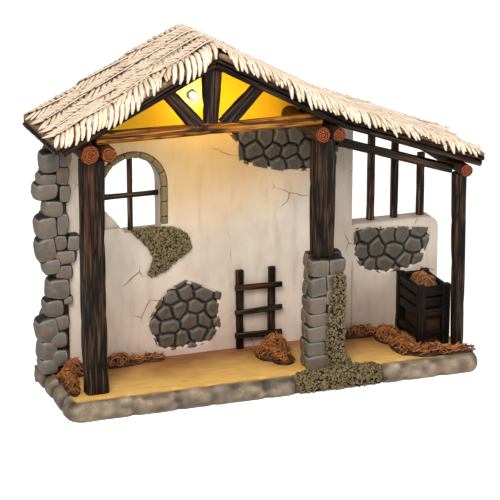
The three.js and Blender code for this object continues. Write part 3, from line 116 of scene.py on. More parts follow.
# %% [markdown]
# ## From arrays to pieces
# Each new piece is a set of points in millimetres and faces, worked out as whole arrays. One function
# turns them into a Blender mesh in metres, gives it its material, lets it ride on a body of the frame
# and hides the CAD nodes it stands for. Numbers that belong to each point travel with the mesh as
# attributes, so that paint can follow the shape.

# %% Mesh helpers
def attach(mesh, key, values):
    """Gives each point of a mesh its own number, or its own vector, under the name key."""
    values = np.asarray(values, np.float32)
    kind, field = ("FLOAT", "value") if values.ndim == 1 else ("FLOAT_VECTOR", "vector")
    mesh.attributes.new(key, kind, "POINT").data.foreach_set(field, values.ravel())


def stand(name, mesh, slot, replaces=(), body="stable"):
    """Puts a mesh in the scene: it rides on a body and stands for CAD nodes, which it hides; its slot is not used."""
    made = bpy.data.objects.new(name, mesh)
    bpy.context.scene.collection.objects.link(made)
    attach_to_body(made, body)
    if replaces:
        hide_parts(*replaces)


def piece(name, points, faces, material, slot, replaces=(), attributes=None):
    """A smooth mesh object made from points (mm) and faces."""
    mesh = bpy.data.meshes.new(name)
    mesh.from_pydata((np.asarray(points) * MM).tolist(), [], [list(f) for f in faces])
    mesh.polygons.foreach_set("use_smooth", np.ones(len(mesh.polygons), bool))
    for key, values in (attributes or {}).items():
        attach(mesh, key, values)
    mesh.materials.append(material)
    mesh.update()
    stand(name, mesh, slot, replaces)
    print(f"{name}: {len(faces)} faces")


def grid_faces(rows, columns, wrap=False):
    """Quads between neighbours of a rows x columns grid; wrap joins the last column to the first."""
    i, j = np.meshgrid(np.arange(rows - 1), np.arange(columns if wrap else columns - 1), indexing="ij")
    k = (j + 1) % columns
    quads = np.stack([i * columns + j, i * columns + k, (i + 1) * columns + k, (i + 1) * columns + j], -1)
    return quads.reshape(-1, 4)


def end_caps(rows, columns):
    """The first and the last ring of a wrapped grid, each as one face that looks outwards."""
    ring = np.arange(columns)
    return [ring[::-1], ring + (rows - 1) * columns]


class Heap:
    """Gathers many small shapes into one mesh, with the attributes of each point."""

    def __init__(self):
        """No points, faces or attributes yet."""
        self.points, self.faces, self.extra, self.count = [], [], {}, 0

    def add(self, points, *face_sets, **extra):
        """Appends points and faces, whose numbers grow by the count of the points before them."""
        points = np.asarray(points, float).reshape(-1, 3)
        self.points.append(points)
        for faces in face_sets:
            self.faces.extend((np.asarray(faces) + self.count).tolist())
        for key, value in extra.items():
            value = np.asarray(value, float)
            shape = (len(points), 3) if value.ndim and value.shape[-1] == 3 else (len(points),)
            self.extra.setdefault(key, []).append(np.broadcast_to(value, shape))
        self.count += len(points)

    def make(self, name, material, slot, replaces=()):
        """Turns the heap into one piece."""
        extra = {key: np.concatenate(value) for key, value in self.extra.items()}
        piece(name, np.concatenate(self.points), self.faces, material, slot, replaces, extra)


# %% [markdown]
# ## Materials
# The stable is cast resin painted by hand: a dark wash stays in the hollows, and lighter paint is
# dry-brushed over what stands proud. So every painted piece carries an attribute named relief, 0 in a
# joint or groove and 1 on the highest face, and its material goes from wash to highlight by it.
# Colours are written as sRGB hex codes, as a paint chart would give them, and turned to linear light.

# %% Colour and node helpers
def linear(code):
    """An sRGB hex colour as linear light: ((c + 0.055) / 1.055) ** 2.4 for each channel above 0.04."""
    channels = [int(code[i:i + 2], 16) / 255 for i in (1, 3, 5)]
    return [c / 12.92 if c <= 0.04045 else ((c + 0.055) / 1.055) ** 2.4 for c in channels] + [1.0]


def add_node(material, kind, feed=None, out=0, **settings):
    """Adds one node. feed maps a socket to a number, a hex colour or another node's output."""
    tree = material.node_tree
    node = tree.nodes.new(kind)
    for key, value in settings.items():
        setattr(node, key, value)
    for key, value in (feed or {}).items():
        if isinstance(value, bpy.types.NodeSocket):
            tree.links.new(value, node.inputs[key])
        else:
            node.inputs[key].default_value = linear(value) if isinstance(value, str) else value
    return node.outputs[out]


def finish(name, roughness, ior=1.5, metallic=0.0, gleam=0.5):
    """A new material and its Principled shader, with the numbers that stay the same all over."""
    material = bpy.data.materials.new(name)
    material.use_nodes = True
    shader = material.node_tree.nodes["Principled BSDF"]
    shader.inputs["Roughness"].default_value = roughness
    shader.inputs["Metallic"].default_value = metallic
    shader.inputs["Specular IOR Level"].default_value = gleam
    if not metallic:
        shader.inputs["IOR"].default_value = ior
    return material, shader


def blotches(material, size_mm, detail=3.0, stretch=(1, 1, 1), source=None):
    """Noise with blotches of about size_mm on Object coordinates, longer by stretch along each axis."""
    place = source or add_node(material, "ShaderNodeTexCoord", out=3)
    per_metre = [1000 / size_mm / s for s in stretch]
    placed = add_node(material, "ShaderNodeMapping", {"Vector": place, "Scale": per_metre})
    return add_node(material, "ShaderNodeTexNoise", {"Vector": placed, "Scale": 1.0, "Detail": detail})


def spots(material, size_mm, start, end, most=1.0, detail=3.0, stretch=(1, 1, 1), source=None):
    """A share of 0 where the noise of blotches is under start, rising to most where it is over end."""
    value = blotches(material, size_mm, detail, stretch, source)
    return add_node(material, RANGE, {0: value, 1: start, 2: end, 3: 0, 4: most})


def dress(material, shader, colour, coats=(), height=None, depth_mm=0.5):
    """Lays coats over a colour in order, each by its share from 0 to 1, and bumps by height * depth_mm."""
    links = material.node_tree.links
    for share, paint in coats:
        colour = add_node(material, MIX, {0: share, 6: colour, 7: paint}, out=2, data_type="RGBA")
    links.new(colour, shader.inputs["Base Color"])
    if height is not None:
        normal = add_node(material, "ShaderNodeBump", {"Height": height, "Strength": 1.0, "Distance": depth_mm * MM})
        links.new(normal, shader.inputs["Normal"])
    return material


RANGE, MIX, MATH, ATTRIBUTE = "ShaderNodeMapRange", "ShaderNodeMix", "ShaderNodeMath", "ShaderNodeAttribute"
COORD, SPLIT, VECTOR = "ShaderNodeTexCoord", "ShaderNodeSeparateXYZ", "ShaderNodeVectorMath"
print("plaster white in linear light:", [round(v, 3) for v in linear("#d9cdc0")[:3]])

# %% [markdown]
# **Painted stone.** Matt acrylic on resin. The wash is nearly black in the joints, the body is a grey
# brown, some stones are warm in the middle, and the turn of each edge is pale where the dry brush
# caught it. The grit is drawn at 1.6 mm, coarser than real paint grain, so that it shows.

# %% Stone paint
def painted_stone(name, wash, body, other, warm, light, warm_share):
    """By relief: wash in the joints, light at the turn of the edge, and warm blotches in the middle."""
    material, shader = finish(name, 0.5)
    add = partial(add_node, material)
    relief, tone = (add(ATTRIBUTE, attribute_name=key, out=2) for key in ("relief", "tone"))
    patch = spots(material, 8, 0.45, 0.65, warm_share, 4)
    middle = add(RANGE, {0: relief, 1: 0.45, 2: 0.95})
    warmed = add(MATH, {0: patch, 1: middle}, operation="MULTIPLY")
    grit = spots(material, 1.6, 0.55, 0.85, 0.2)
    rising = add(RANGE, {0: relief, 1: 0.25, 2: 0.5})
    falling = add(RANGE, {0: relief, 1: 0.5, 2: 0.85, 3: 0.5, 4: 0})
    turn_of_edge = add(MATH, {0: rising, 1: falling}, operation="MULTIPLY")
    joint = add(RANGE, {0: relief, 1: 0.3, 2: 0.02})
    coats = [(tone, other), (warmed, warm), (grit, wash), (turn_of_edge, light), (joint, wash)]
    return dress(material, shader, body, coats, blotches(material, 2.6, 4), 0.45)


WALL_STONE = painted_stone("painted_wall_stone", "#080604", "#3c3630", "#4c453c", "#57402b", "#6a6156", 0.65)
END_STONE = painted_stone("painted_end_stone", "#14110e", "#57514b", "#696159", "#786049", "#8f877e", 0.8)
PIER_STONE = painted_stone("painted_pier_stone", "#14100d", "#534c44", "#645c52", "#745a40", "#8e8578", 0.7)
ARCH_STONE = painted_stone("painted_arch_stone", "#0f0d0a", "#5c5138", "#7a6a45", "#86652f", "#a8925c", 0.6)
print("stone paints:", 4)

# %% [markdown]
# ** Stained plaster.** Flat off-white paint with grey stains, and pink-brown blotches that grow towards the floor.
# Hair cracks are the thin borders between large cells, shown only here and there. Real trowel marks
# are about 25 mm long and 0.3 mm deep. The lamp's warm light on the gable is also painted: a yellow
# painted glow on the front face alone, over the gable and in a halo round the lamp, paler close to the lens.

# %% Plaster paint
def stained_plaster():
    """Stains, blotches and cracks follow noise; the painted lamp glow follows the height and the distances from lamp
    and lens.
    """
    material, shader = finish("stained_plaster", 0.82)
    add = partial(add_node, material)
    place = add(COORD, out=3)
    depth, height = (add(SPLIT, {0: place}, out=axis) for axis in (1, 2))
    soft = spots(material, 60, 0.35, 0.65, detail=5)
    upright = spots(material, 18, 0.52, 0.74, 0.55, 5, (0.5, 1, 2.2))
    low = add(RANGE, {0: height, 1: 0.115, 2: 0.018, 3: 0, 4: 0.75})
    pink = add(MATH, {0: low, 1: blotches(material, 26, 4)}, operation="MULTIPLY")
    jitter = add("ShaderNodeTexNoise", {"Vector": place, "Scale": 45.0}, out=1)
    wobble = add(VECTOR, {0: jitter, 1: (0.012, 0.012, 0.012), 2: place}, operation="MULTIPLY_ADD")
    cells = add("ShaderNodeTexVoronoi", {"Vector": wobble, "Scale": 11.0}, feature="DISTANCE_TO_EDGE")
    line = add(RANGE, {0: cells, 1: 0.006, 2: 0.001})
    here = spots(material, 55, 0.58, 0.64, detail=2)
    crack = add(MATH, {0: line, 1: here}, operation="MULTIPLY")
    faint = add(MATH, {0: crack, 1: 0.75}, operation="MULTIPLY")
    # Painted light: the lamp's warm glow is a yellow coat on the front of the gable and in a halo round the lamp, paler
    # close to the lens.
    from_lamp = add(VECTOR, {0: place, 1: (-0.045, 0.04, 0.3)}, out=1, operation="DISTANCE")
    painted_lamp_halo = add(RANGE, {0: from_lamp, 1: 0.17, 2: 0.05, 3: 0, 4: 0.6})
    gable = add(RANGE, {0: height, 1: 0.236, 2: 0.246})
    front = add(RANGE, {0: depth, 1: 0.0445, 2: 0.042})
    from_lens = add(VECTOR, {0: place, 1: (-0.0585, 0.04, 0.285)}, out=1, operation="DISTANCE")
    less_glow_near_lens = add(RANGE, {0: from_lens, 1: 0.006, 2: 0.02, 3: 0.15, 4: 1})
    painted_lamp_glow = add(MATH, {0: painted_lamp_halo, 1: gable}, operation="MAXIMUM")
    for limit in (front, less_glow_near_lens):
        painted_lamp_glow = add(MATH, {0: painted_lamp_glow, 1: limit}, operation="MULTIPLY")
    rough = add(MATH, {0: blotches(material, 7, 5), 1: crack}, operation="SUBTRACT")
    coats = [(soft, "#baab9c"), (upright, "#a8937f"), (pink, "#a8806a"), (painted_lamp_glow, "#f4b600"), (faint, "#6b5240")]
    return dress(material, shader, "#ccbfb1", coats, rough, 0.55)


PLASTER = stained_plaster()
print("plaster nodes:", len(PLASTER.node_tree.nodes))

# %% [markdown]
# **Hewn timber.** Resin painted almost black, then dry-brushed in orange-brown along the grain. The
# mesh of each timber carries its own grain coordinates, across, through and along, so the streaks
# follow the piece whichever way it leans. A streak is 1.3 to 3 mm wide and about 40 mm long. Soot black
# pigment scatters little and its film is porous, so it gleams less than a sealed paint does.

# %% Timber and log paint
def hewn_wood(name, wash, body, streak, light, streak_share):
    """Streaks are noise stretched 20 to 30 times along the grain, and the wash fills the grooves."""
    material, shader = finish(name, 0.5, gleam=0.16)
    add = partial(add_node, material)
    grain = add(ATTRIBUTE, attribute_name="grain", out=1)
    relief = add(ATTRIBUTE, attribute_name="relief", out=2)
    broad = spots(material, 3.0, 0.55, 0.64, streak_share, 3, (1, 1, 20), grain)
    fine = spots(material, 1.3, 0.52, 0.62, 0.7, 2, (1, 1, 30), grain)
    groove = add(RANGE, {0: relief, 1: 0.9, 2: 0.25})
    return dress(material, shader, body, [(broad, streak), (fine, light), (groove, wash)],
                 blotches(material, 1.1, 3, (1, 1, 18), grain), 0.5)


DARK_WOOD = hewn_wood("hewn_dark_wood", "#050302", "#130c08", "#5a3014", "#54402f", 0.7)
BROWN_WOOD = hewn_wood("hewn_brown_wood", "#0c0704", "#2a1a10", "#6a3a18", "#8a6c50", 0.85)
BLACK_WOOD = hewn_wood("hewn_black_wood", "#030201", "#0a0604", "#301809", "#2a1e16", 0.6)
GOLD_WOOD = hewn_wood("hewn_golden_wood", "#241003", "#6a380c", "#b06a18", "#cf9238", 0.9)


def log_paint():
    """Bark as the dark timber; a cut end has rings, the sine of its radius moved by noise."""
    material, shader = finish("painted_log", 0.6, gleam=0.2)
    add = partial(add_node, material)
    ring, relief, radial = (add(ATTRIBUTE, attribute_name=key, out=2) for key in ("ring", "relief", "radial"))
    wave = add(MATH, {0: blotches(material, 4, 3), 1: 5.0, 2: radial}, operation="MULTIPLY_ADD")
    wave = add(MATH, {0: wave, 1: 3.2}, operation="MULTIPLY")
    lines = add(RANGE, {0: add(MATH, {0: wave}, operation="SINE"), 1: -0.7, 2: 0.5})
    cut = add(MIX, {0: lines, 6: "#1d0b04", 7: "#8c4214"}, out=2, data_type="RGBA")
    return dress(material, shader, "#100b08", [(relief, "#3b261a"), (ring, cut)], blotches(material, 1.2, 4), 0.5)


LOG = log_paint()
print("wood paints:", 5)

# %% [markdown]
# ** Palm thatch, straw, moss and earth.** All cast and painted. Palm is a pale cream with a brown wash
# between the leaflets. Straw is orange brown, near black between its stems. Moss is a clump foam, dark
# brown with straw-coloured tips, and painted shade on the side of each crumb away from the key lamp.
# Earth goes from golden ochre at the front to red brown at the wall, partly its paint and partly painted
# shade under the roof, and the rock round it is grey brown.

# %% Thatch, straw, moss and earth paint
def brushed(name, wash, low, high, wash_to, blotch_mm, grit_mm, grit_depth, roughness=0.8):
    """High to low by tone times a blotch, and wash where relief is under wash_to."""
    material, shader = finish(name, roughness)
    add = partial(add_node, material)
    relief, tone = (add(ATTRIBUTE, attribute_name=key, out=2) for key in ("relief", "tone"))
    blotch = spots(material, blotch_mm, 0.35, 0.65)
    mixed = add(MATH, {0: tone, 1: blotch}, operation="MULTIPLY")
    hollow = add(RANGE, {0: relief, 1: wash_to, 2: 0.0})
    return dress(material, shader, high, [(mixed, low), (hollow, wash)], blotches(material, grit_mm, 3), grit_depth)


PALM = brushed("painted_palm", "#936d4c", "#dcc0a0", "#f0ddc6", 0.6, 22, 1.2, 0.25)
PALM_BED = brushed("painted_palm_shade", "#4f3725", "#86664a", "#a08060", 0.5, 14, 1.2, 0.3)
STRAW = brushed("painted_straw", "#120501", "#6e3612", "#cc7c3a", 0.8, 9, 0.9, 0.2, 0.65)
HAY = brushed("painted_hay", "#160803", "#6e3c18", "#b87c44", 0.8, 9, 0.9, 0.2, 0.65)
MOSS = brushed("clump_foam_moss", "#060301", "#1d160b", "#8f7b52", 0.95, 3, 0.8, 0.2, 0.9)


def earth_and_rock():
    """Floor by an attribute named floor, with rock round it. Y runs from the front edge to the wall."""
    material, shader = finish("painted_earth_and_rock", 0.6)
    add = partial(add_node, material)
    depth = add(SPLIT, {0: add(COORD, out=3)}, out=1)
    floor, relief = (add(ATTRIBUTE, attribute_name=key, out=2) for key in ("floor", "relief"))
    # Partly painted shade: the earth goes darker red brown towards the wall, partly its own paint and partly painted
    # shade under the roof.
    wander = add(MATH, {0: blotches(material, 40, 4), 1: 0.07, 2: depth}, operation="MULTIPLY_ADD")
    far_paint_and_shade = add(RANGE, {0: wander, 1: 0.0, 2: 0.068})
    streaks = spots(material, 6, 0.5, 0.75, 0.5, 4, (5, 1, 1))
    earth = "#dcae5e"
    for share, paint in ((far_paint_and_shade, "#84502f"), (streaks, "#b4712f")):
        earth = add(MIX, {0: share, 6: earth, 7: paint}, out=2, data_type="RGBA")
    cloud = spots(material, 12, 0.35, 0.65, detail=5)
    pale = spots(material, 7, 0.58, 0.76, 0.5, 4)
    hollow = add(MATH, {0: 1.0, 1: relief}, operation="SUBTRACT")
    coats = [(cloud, "#73634f"), (pale, "#c4ae90"), (hollow, "#3a3026"), (floor, earth)]
    return dress(material, shader, "#9a8670", coats, blotches(material, 5, 5), 0.6)


EARTH = earth_and_rock()
print("soft-looking paints:", 6)

# %% [markdown]
# **The electrical parts.** Moulded ABS has a fine spark texture, about 0.1 mm in reality and drawn at
# 0.4 mm here. The lens of the lamp glows warm white. Cells have a plain blue jacket, contacts are
# nickel-plated spring steel, and the lead has soft PVC insulation.

# %% Plastic, metal and lens
def moulded(name, colour, other, roughness):
    """Two near shades by a noise of 6 mm, over a spark texture."""
    material, shader = finish(name, roughness, 1.53)
    return dress(material, shader, colour, [(spots(material, 6, 0.3, 0.7), other)], blotches(material, 0.4, 2), 0.05)


ABS_BLACK = moulded("spark_textured_abs", "#17171a", "#222226", 0.42)
ABS_GREY = moulded("grey_abs", "#3c3d40", "#4a4b4e", 0.4)
PVC = moulded("pvc_insulation", "#101012", "#19191c", 0.5)
JACKET = moulded("printed_cell_jacket", "#27507a", "#336393", 0.3)


def nickel():
    """Rub marks are noise stretched four times along the strip."""
    material, shader = finish("nickel_plated_steel", 0.28, metallic=1.0)
    rub = spots(material, 3, 0.3, 0.7, detail=4, stretch=(4, 1, 1))
    return dress(material, shader, "#c9ccce", [(rub, "#a9adb0")])


def lens():
    """Warm epoxy, clouded by a noise of 2 mm, which glows in its own colour."""
    material, shader = finish("warm_epoxy_lens", 0.15, 1.54)
    tint = spots(material, 2, 0.3, 0.7)
    colour = add_node(material, MIX, {0: tint, 6: "#fff3cf", 7: "#ffe6a0"}, out=2, data_type="RGBA")
    material.node_tree.links.new(colour, shader.inputs["Emission Color"])
    shader.inputs["Emission Strength"].default_value = 9.0
    return dress(material, shader, colour)


NICKEL, LENS = nickel(), lens()
print("materials so far:", len(bpy.data.materials))

# %% [markdown]
# ## Walls
# The CAD walls have the right shape, so their looks need only a softer edge: a copy of the mesh is
# merged, given a small bevel, and stands for the node. The same is done for the moulded parts of the
# lamp.

# %% Softened copies of CAD nodes
def softened(node, material, slot, bevel_mm, body="stable"):
    """A merged copy of a CAD node, with edges sharper than 35 degrees bevelled by bevel_mm."""
    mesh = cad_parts[node].data.copy()
    work = bmesh.new()
    work.from_mesh(mesh)
    bmesh.ops.remove_doubles(work, verts=work.verts, dist=1e-5)
    bmesh.ops.dissolve_limit(work, angle_limit=math.radians(2), verts=work.verts, edges=work.edges)
    sharp = [e for e in work.edges if len(e.link_faces) == 2 and e.calc_face_angle(0) > math.radians(35)]
    bmesh.ops.bevel(work, geom=sharp, offset=bevel_mm * MM, segments=2, affect="EDGES", clamp_overlap=True)
    bmesh.ops.triangulate(work, faces=work.faces)
    work.to_mesh(mesh)
    work.free()
    mesh.materials.clear()
    mesh.materials.append(material)
    stand(node + "_cast", mesh, slot, [node], body)


for wall in ("back_wall", "low_wall"):
    softened(wall, PLASTER, "plaster", 0.8)
print("walls softened")

# %% [markdown]
# ## Fieldstone under broken plaster
# Each patch is one surface over a fine grid. Every point of the grid looks for its two nearest stone
# centres: half way between two centres lies a joint, and the height rises from the joint as a quarter
# circle, so each stone has a rounded edge and a nearly flat face. The centres are the CAD source's own.

# %% Fieldstone patches
WALL_FRONT = 40.0
PATCHES = {
    "patch_stones_center": ([(-80, 24), (-60, 24), (-43, 27), (-29, 44), (-32, 62), (-28, 79), (-46, 88),
                             (-66, 97), (-87, 88), (-99, 71), (-107, 56), (-100, 37), (-96, 27)], 17.5, 1),
    "patch_stones_top": ([(1, 208), (22, 202), (44, 197), (69, 196), (93, 193), (96, 220), (93, 241),
                          (40, 252), (-4, 252), (-22, 243), (-11, 231), (-10, 213)], 18.5, 40),
    "patch_stones_low": ([(114, 131.5), (113.5, 113), (114.5, 100), (122, 88), (146, 79), (168, 80),
                          (189, 88), (197, 107), (199, 124), (160, 129)], 18.5, 90),
}


def stone_centres(loop, pitch, seed):
    """Rows of centres in a brick pattern, each moved a little by chance."""
    loop = np.array(loop, float)
    (x0, z0), (x1, z1) = loop.min(0), loop.max(0)
    found = []
    for row, z in enumerate(np.arange(z0 - pitch / 4, z1 + pitch, pitch * 0.86)):
        for x in np.arange(x0 - pitch / 2, x1 + pitch, pitch):
            key = seed + len(found)
            shift = pitch / 2 if row % 2 else 0
            found.append((x + shift + spread(key, pitch * 0.24), z + spread(key + 0.5, pitch * 0.2)))
    return np.array(found)


def edge_distance(points, loop):
    """Signed distance to a closed outline, positive inside: nearest side, and the count of crossings."""
    a = np.array(loop, float)
    b = np.roll(a, -1, axis=0)
    ab = b - a
    ap = points[:, None, :] - a
    t = np.clip((ap * ab).sum(-1) / (ab ** 2).sum(-1), 0, 1)
    gap = np.linalg.norm(ap - t[..., None] * ab, axis=-1).min(1)
    px, pz = points[:, None, 0], points[:, None, 1]
    spans = (a[:, 1] > pz) != (b[:, 1] > pz)
    crossing = spans & (px < a[:, 0] + (pz - a[:, 1]) * ab[:, 0] / np.where(ab[:, 1] == 0, 1e-9, ab[:, 1]))
    return np.where(crossing.sum(1) % 2 == 1, gap, -gap)


HALF_JOINT, EDGE, PROUD, HOLLOW = 0.35, 3.6, 1.2, 4.2  # mm


def fieldstone(name, loop, pitch, seed):
    """y = wall - PROUD + HOLLOW * (1 - sqrt(1 - (1 - e)^2)), where e = (distance to joint - HALF_JOINT) / EDGE.

    Each stone is also tilted a little by chance, and noise makes its face lumpy.
    """
    centres = stone_centres(loop, pitch, seed)
    step = 0.7
    low, high = np.min(loop, 0) - 2, np.max(loop, 0) + 2
    xs, zs = np.arange(low[0], high[0], step), np.arange(low[1], high[1], step)
    z, x = np.meshgrid(zs, xs, indexing="ij")
    flat = np.stack([x, z], -1).reshape(-1, 2)
    inside = edge_distance(flat, loop)
    deep = xyz(flat[:, 0], 0, flat[:, 1])
    bent = flat + 2.2 * np.stack([noise(deep, 7, seed) - 0.5, noise(deep, 7, seed + 9) - 0.5], -1)
    gaps = np.linalg.norm(bent[:, None] - centres, axis=-1)
    order = np.argsort(gaps, 1)[:, :2]
    first, second = np.take_along_axis(gaps, order, 1).T
    apart = np.linalg.norm(centres[order[:, 0]] - centres[order[:, 1]], axis=-1)
    joint = (second ** 2 - first ** 2) / (2 * apart)
    edge = np.clip((joint - HALF_JOINT) / EDGE, 0, 1)
    dome = np.sqrt(1 - (1 - edge) ** 2)
    own = order[:, 0] + seed
    tilt = (bent - centres[order[:, 0]]) * np.stack([spread(own, 0.07), spread(own + 50, 0.07)], -1)
    lumps = (noise(deep, 5, seed) - 0.5) * 0.9 + tilt.sum(1) * edge
    y = WALL_FRONT - PROUD - chance(own * 1.7) * 0.3 + HOLLOW * (1 - dome) + lumps * edge
    y = np.where(inside < 0.3, WALL_FRONT + 3.8, y)
    faces = grid_faces(len(zs), len(xs))
    faces = faces[(inside[faces] > -1.5).any(1)]
    relief = np.where(inside < 0.3, 0, dome * (0.35 + 0.65 * np.clip((joint - HALF_JOINT) / 6, 0, 1)))
    attributes = {"relief": relief, "tone": chance(own * 3.3)}
    piece(name + "_cobbles", xyz(flat[:, 0], y, flat[:, 1]), faces, WALL_STONE, "fieldstone", [name], attributes)


for patch, (loop, pitch, seed) in PATCHES.items():
    fieldstone(patch, loop, pitch, seed)

# %% [markdown]
# The plaster ends in a ragged, chipped edge over the stones. A strip follows each patch's outline: its
# outer side lies flush on the wall, and its inner side reaches over the stones by a distance that
# wanders, then turns down into the hollow.

# %% Broken plaster edges
def along_outline(loop, step):
    """Points at even spacing along a closed outline, with the inward normal of each."""
    loop = np.array(loop, float)
    ends = np.roll(loop, -1, axis=0)
    lengths = np.linalg.norm(ends - loop, axis=1)
    total = lengths.sum()
    s = np.linspace(0, total, int(total / step), endpoint=False)
    starts = np.concatenate([[0], np.cumsum(lengths)])
    closed = np.vstack([loop, loop[:1]])
    points = np.stack([np.interp(s, starts, closed[:, k]) for k in (0, 1)], -1)
    way = np.roll(points, -3, axis=0) - np.roll(points, 3, axis=0)
    way /= np.linalg.norm(way, axis=1)[:, None]
    inward = np.stack([-way[:, 1], way[:, 0]], -1)
    area = (loop[:, 0] * ends[:, 1] - ends[:, 0] * loop[:, 1]).sum()
    return points, inward * np.sign(area)


LIP = [(0, -4.0, -0.02), (0, -2.0, -0.18), (1, 0, -0.45), (1, 0.35, 0.15), (1, 0.3, 3.6)]  # share, offset, y


def plaster_lip(name, loop, seed):
    """Five lines along the outline, each moved inwards by share * reach + offset; reach is 0.2 to 4.3 mm."""
    points, inward = along_outline(loop, 0.6)
    deep = xyz(points[:, 0], 0, points[:, 1])
    reach = 0.2 + 2.6 * noise(deep, 6, seed) + 1.5 * noise(deep, 2, seed + 1)
    strip = []
    for share, offset, y in LIP:
        place = points + inward * (share * reach + offset)[:, None]
        strip.append(xyz(place[:, 0], WALL_FRONT + y, place[:, 1]))
    faces = grid_faces(len(LIP), len(points), wrap=True)
    corner = np.concatenate(strip)
    first = corner[faces[0]]
    turned = np.cross(first[1] - first[0], first[3] - first[0])[1] > 0
    piece(name, corner, faces[:, ::-1] if turned else faces, PLASTER, "plaster")


for patch, (loop, pitch, seed) in PATCHES.items():
    plaster_lip(patch.replace("patch_stones", "plaster_lip"), loop, seed + 5)

# %% [markdown]
# ## Rounded stones
# The wall's left end and the pier are stacked from rounded fieldstones. Each is a cube of small faces
# blown up to a superellipsoid: a point q on the cube is divided by (|x|^p + |y|^p + |z|^p)^(1/p), which
# gives a box with soft corners, and noise then makes it lumpy. A cube has no poles to hide.

# %% Boulders
def cube_shell(n):
    """Points on a cube from -1 to 1, n quads along each edge, and faces that point outwards."""
    v, u = np.meshgrid(np.linspace(-1, 1, n + 1), np.linspace(-1, 1, n + 1), indexing="ij")
    points, faces = [], []
    for axis in range(3):
        for side in (-1, 1):
            face = np.insert(np.stack([u, v], -1).reshape(-1, 2), axis, side, axis=1)
            quads = grid_faces(n + 1, n + 1)
            a, b, d = face[quads[0, 0]], face[quads[0, 1]], face[quads[0, 3]]
            outward = np.cross(b - a, d - a)[axis] * side > 0
            faces.append((quads if outward else quads[:, ::-1]) + len(points) * (n + 1) ** 2)
            points.append(face)
    merged, index = np.unique(np.round(np.concatenate(points), 6), axis=0, return_inverse=True)
    return merged, index.reshape(-1)[np.concatenate(faces)]


SHELL, SHELL_FACES = cube_shell(9)

FRONT, BACK, LEFT, RIGHT = (0, -1, 0), (0, 1, 0), (-1, 0, 0), (1, 0, 0)
SIDES = [FRONT, BACK, LEFT, RIGHT, (0, 0, 1), (0, 0, -1)]


def boulder(heap, centre, size, seed, shown, power=3.0, rough=0.15):
    """One stone. Relief is 1 - ((turned - 0.55) / 0.4)^1.5, by how far a point is turned from the shown sides."""
    body = SHELL * (np.abs(SHELL) ** power).sum(1)[:, None] ** (-1 / power)
    twist = spread(seed + 0.3, 0.16)
    body = body @ np.array([[math.cos(twist), 0, math.sin(twist)], [0, 1, 0], [-math.sin(twist), 0, math.cos(twist)]])
    where = body + seed * 3.7
    body = body * (1 + rough * (noise(where, 0.9, seed) - 0.5) + rough * 0.5 * (noise(where, 0.4, seed) - 0.5))[:, None]
    points = np.array(centre) + body * np.array(size) / 2
    turned = (SHELL @ np.array([side for side in SIDES if side not in shown]).T).max(1)
    relief = 1 - np.clip((turned - 0.55) / 0.4, 0, 1) ** 1.5
    heap.add(points, SHELL_FACES, relief=relief, tone=chance(seed * 2.9))


END_STONES = [
    (-203, 231.5, 19, 23), (-189.5, 235, 14, 20), (-206.4, 215.2, 19, 12), (-192, 217, 14, 19),
    (-207.8, 203, 24, 18), (-189.8, 199.5, 12, 18), (-201, 185.4, 20, 18), (-208, 167, 21, 24),
    (-192.8, 169, 13, 24), (-209, 145, 19, 25.5), (-195.5, 150.5, 14, 16.5), (-182.3, 148.7, 14, 17),
    (-191.8, 135, 24, 15), (-204.1, 127.5, 17, 17), (-192.8, 120, 18, 16), (-198, 104, 23, 22),
    (-203, 84.7, 20, 19), (-189, 91, 11, 9), (-210, 63, 21, 25.5), (-197.5, 68.5, 20, 17),
    (-200.3, 52, 19, 18), (-210, 41, 19, 23), (-200, 33, 20, 19), (-209.5, 25, 18, 18),
]


def block(heap, low, high, relief):
    """A plain box between two corners, which closes the gaps behind a stack of stones."""
    x, y, z = np.array([low, high], float).T
    corners = xyz(x[[0, 1, 1, 0] * 2], y[[0, 0, 1, 1] * 2], z[[0] * 4 + [1] * 4])
    sides = [[0, 3, 2, 1], [4, 5, 6, 7], [0, 1, 5, 4], [1, 2, 6, 5], [2, 3, 7, 6], [3, 0, 4, 7]]
    heap.add(corners, sides, relief=relief, tone=0.0)


def left_end():
    """Front stones are 16 deep. Those on the outside are 22 deep and have a second one behind them."""
    heap = Heap()
    for i, (x, z, wide, tall) in enumerate(END_STONES):
        outer = x - wide / 2 < -209
        z = max(z, 18 + tall * 0.42)
        size = (wide * 1.1, 22 if outer else 16, tall * 1.12)
        boulder(heap, (x, 40 if outer else 39.5, z), size, i + 1, [FRONT, LEFT] if outer else [FRONT])
        if outer:
            boulder(heap, (x + 7, 54.5, z + spread(i, 2)), (wide, 16, tall * 1.1), i + 31, [LEFT, BACK])
    block(heap, (-200, 36, 18), (-188, 61, 240), 0.0)
    heap.make("left_end_fieldstones", END_STONE, "fieldstone", ["left_end_stones"])


left_end()

# %% [markdown]
# The pier under the middle post is laid in uneven courses. Front stones are placed as the real ones
# lie; stones behind them fill its two sides and its back, each course a little wider than the one above.

# %% Pier
PIER_FRONT_STONES = [
    (44.3, 121.5, 18.5, 17.5), (61.5, 122, 17.5, 16), (42.8, 103, 16.5, 21), (60, 107, 20, 17), (42.6, 84, 17.6, 18),
    (59.5, 91, 20, 17), (43.5, 68.8, 20, 14), (60.5, 75, 18, 17), (44, 54.5, 22, 17), (62, 59, 17, 18),
    (41, 38.5, 18, 16), (55, 41, 12, 21), (65, 42, 13, 17), (43, 24.5, 23, 15), (62, 26, 20, 18),
]


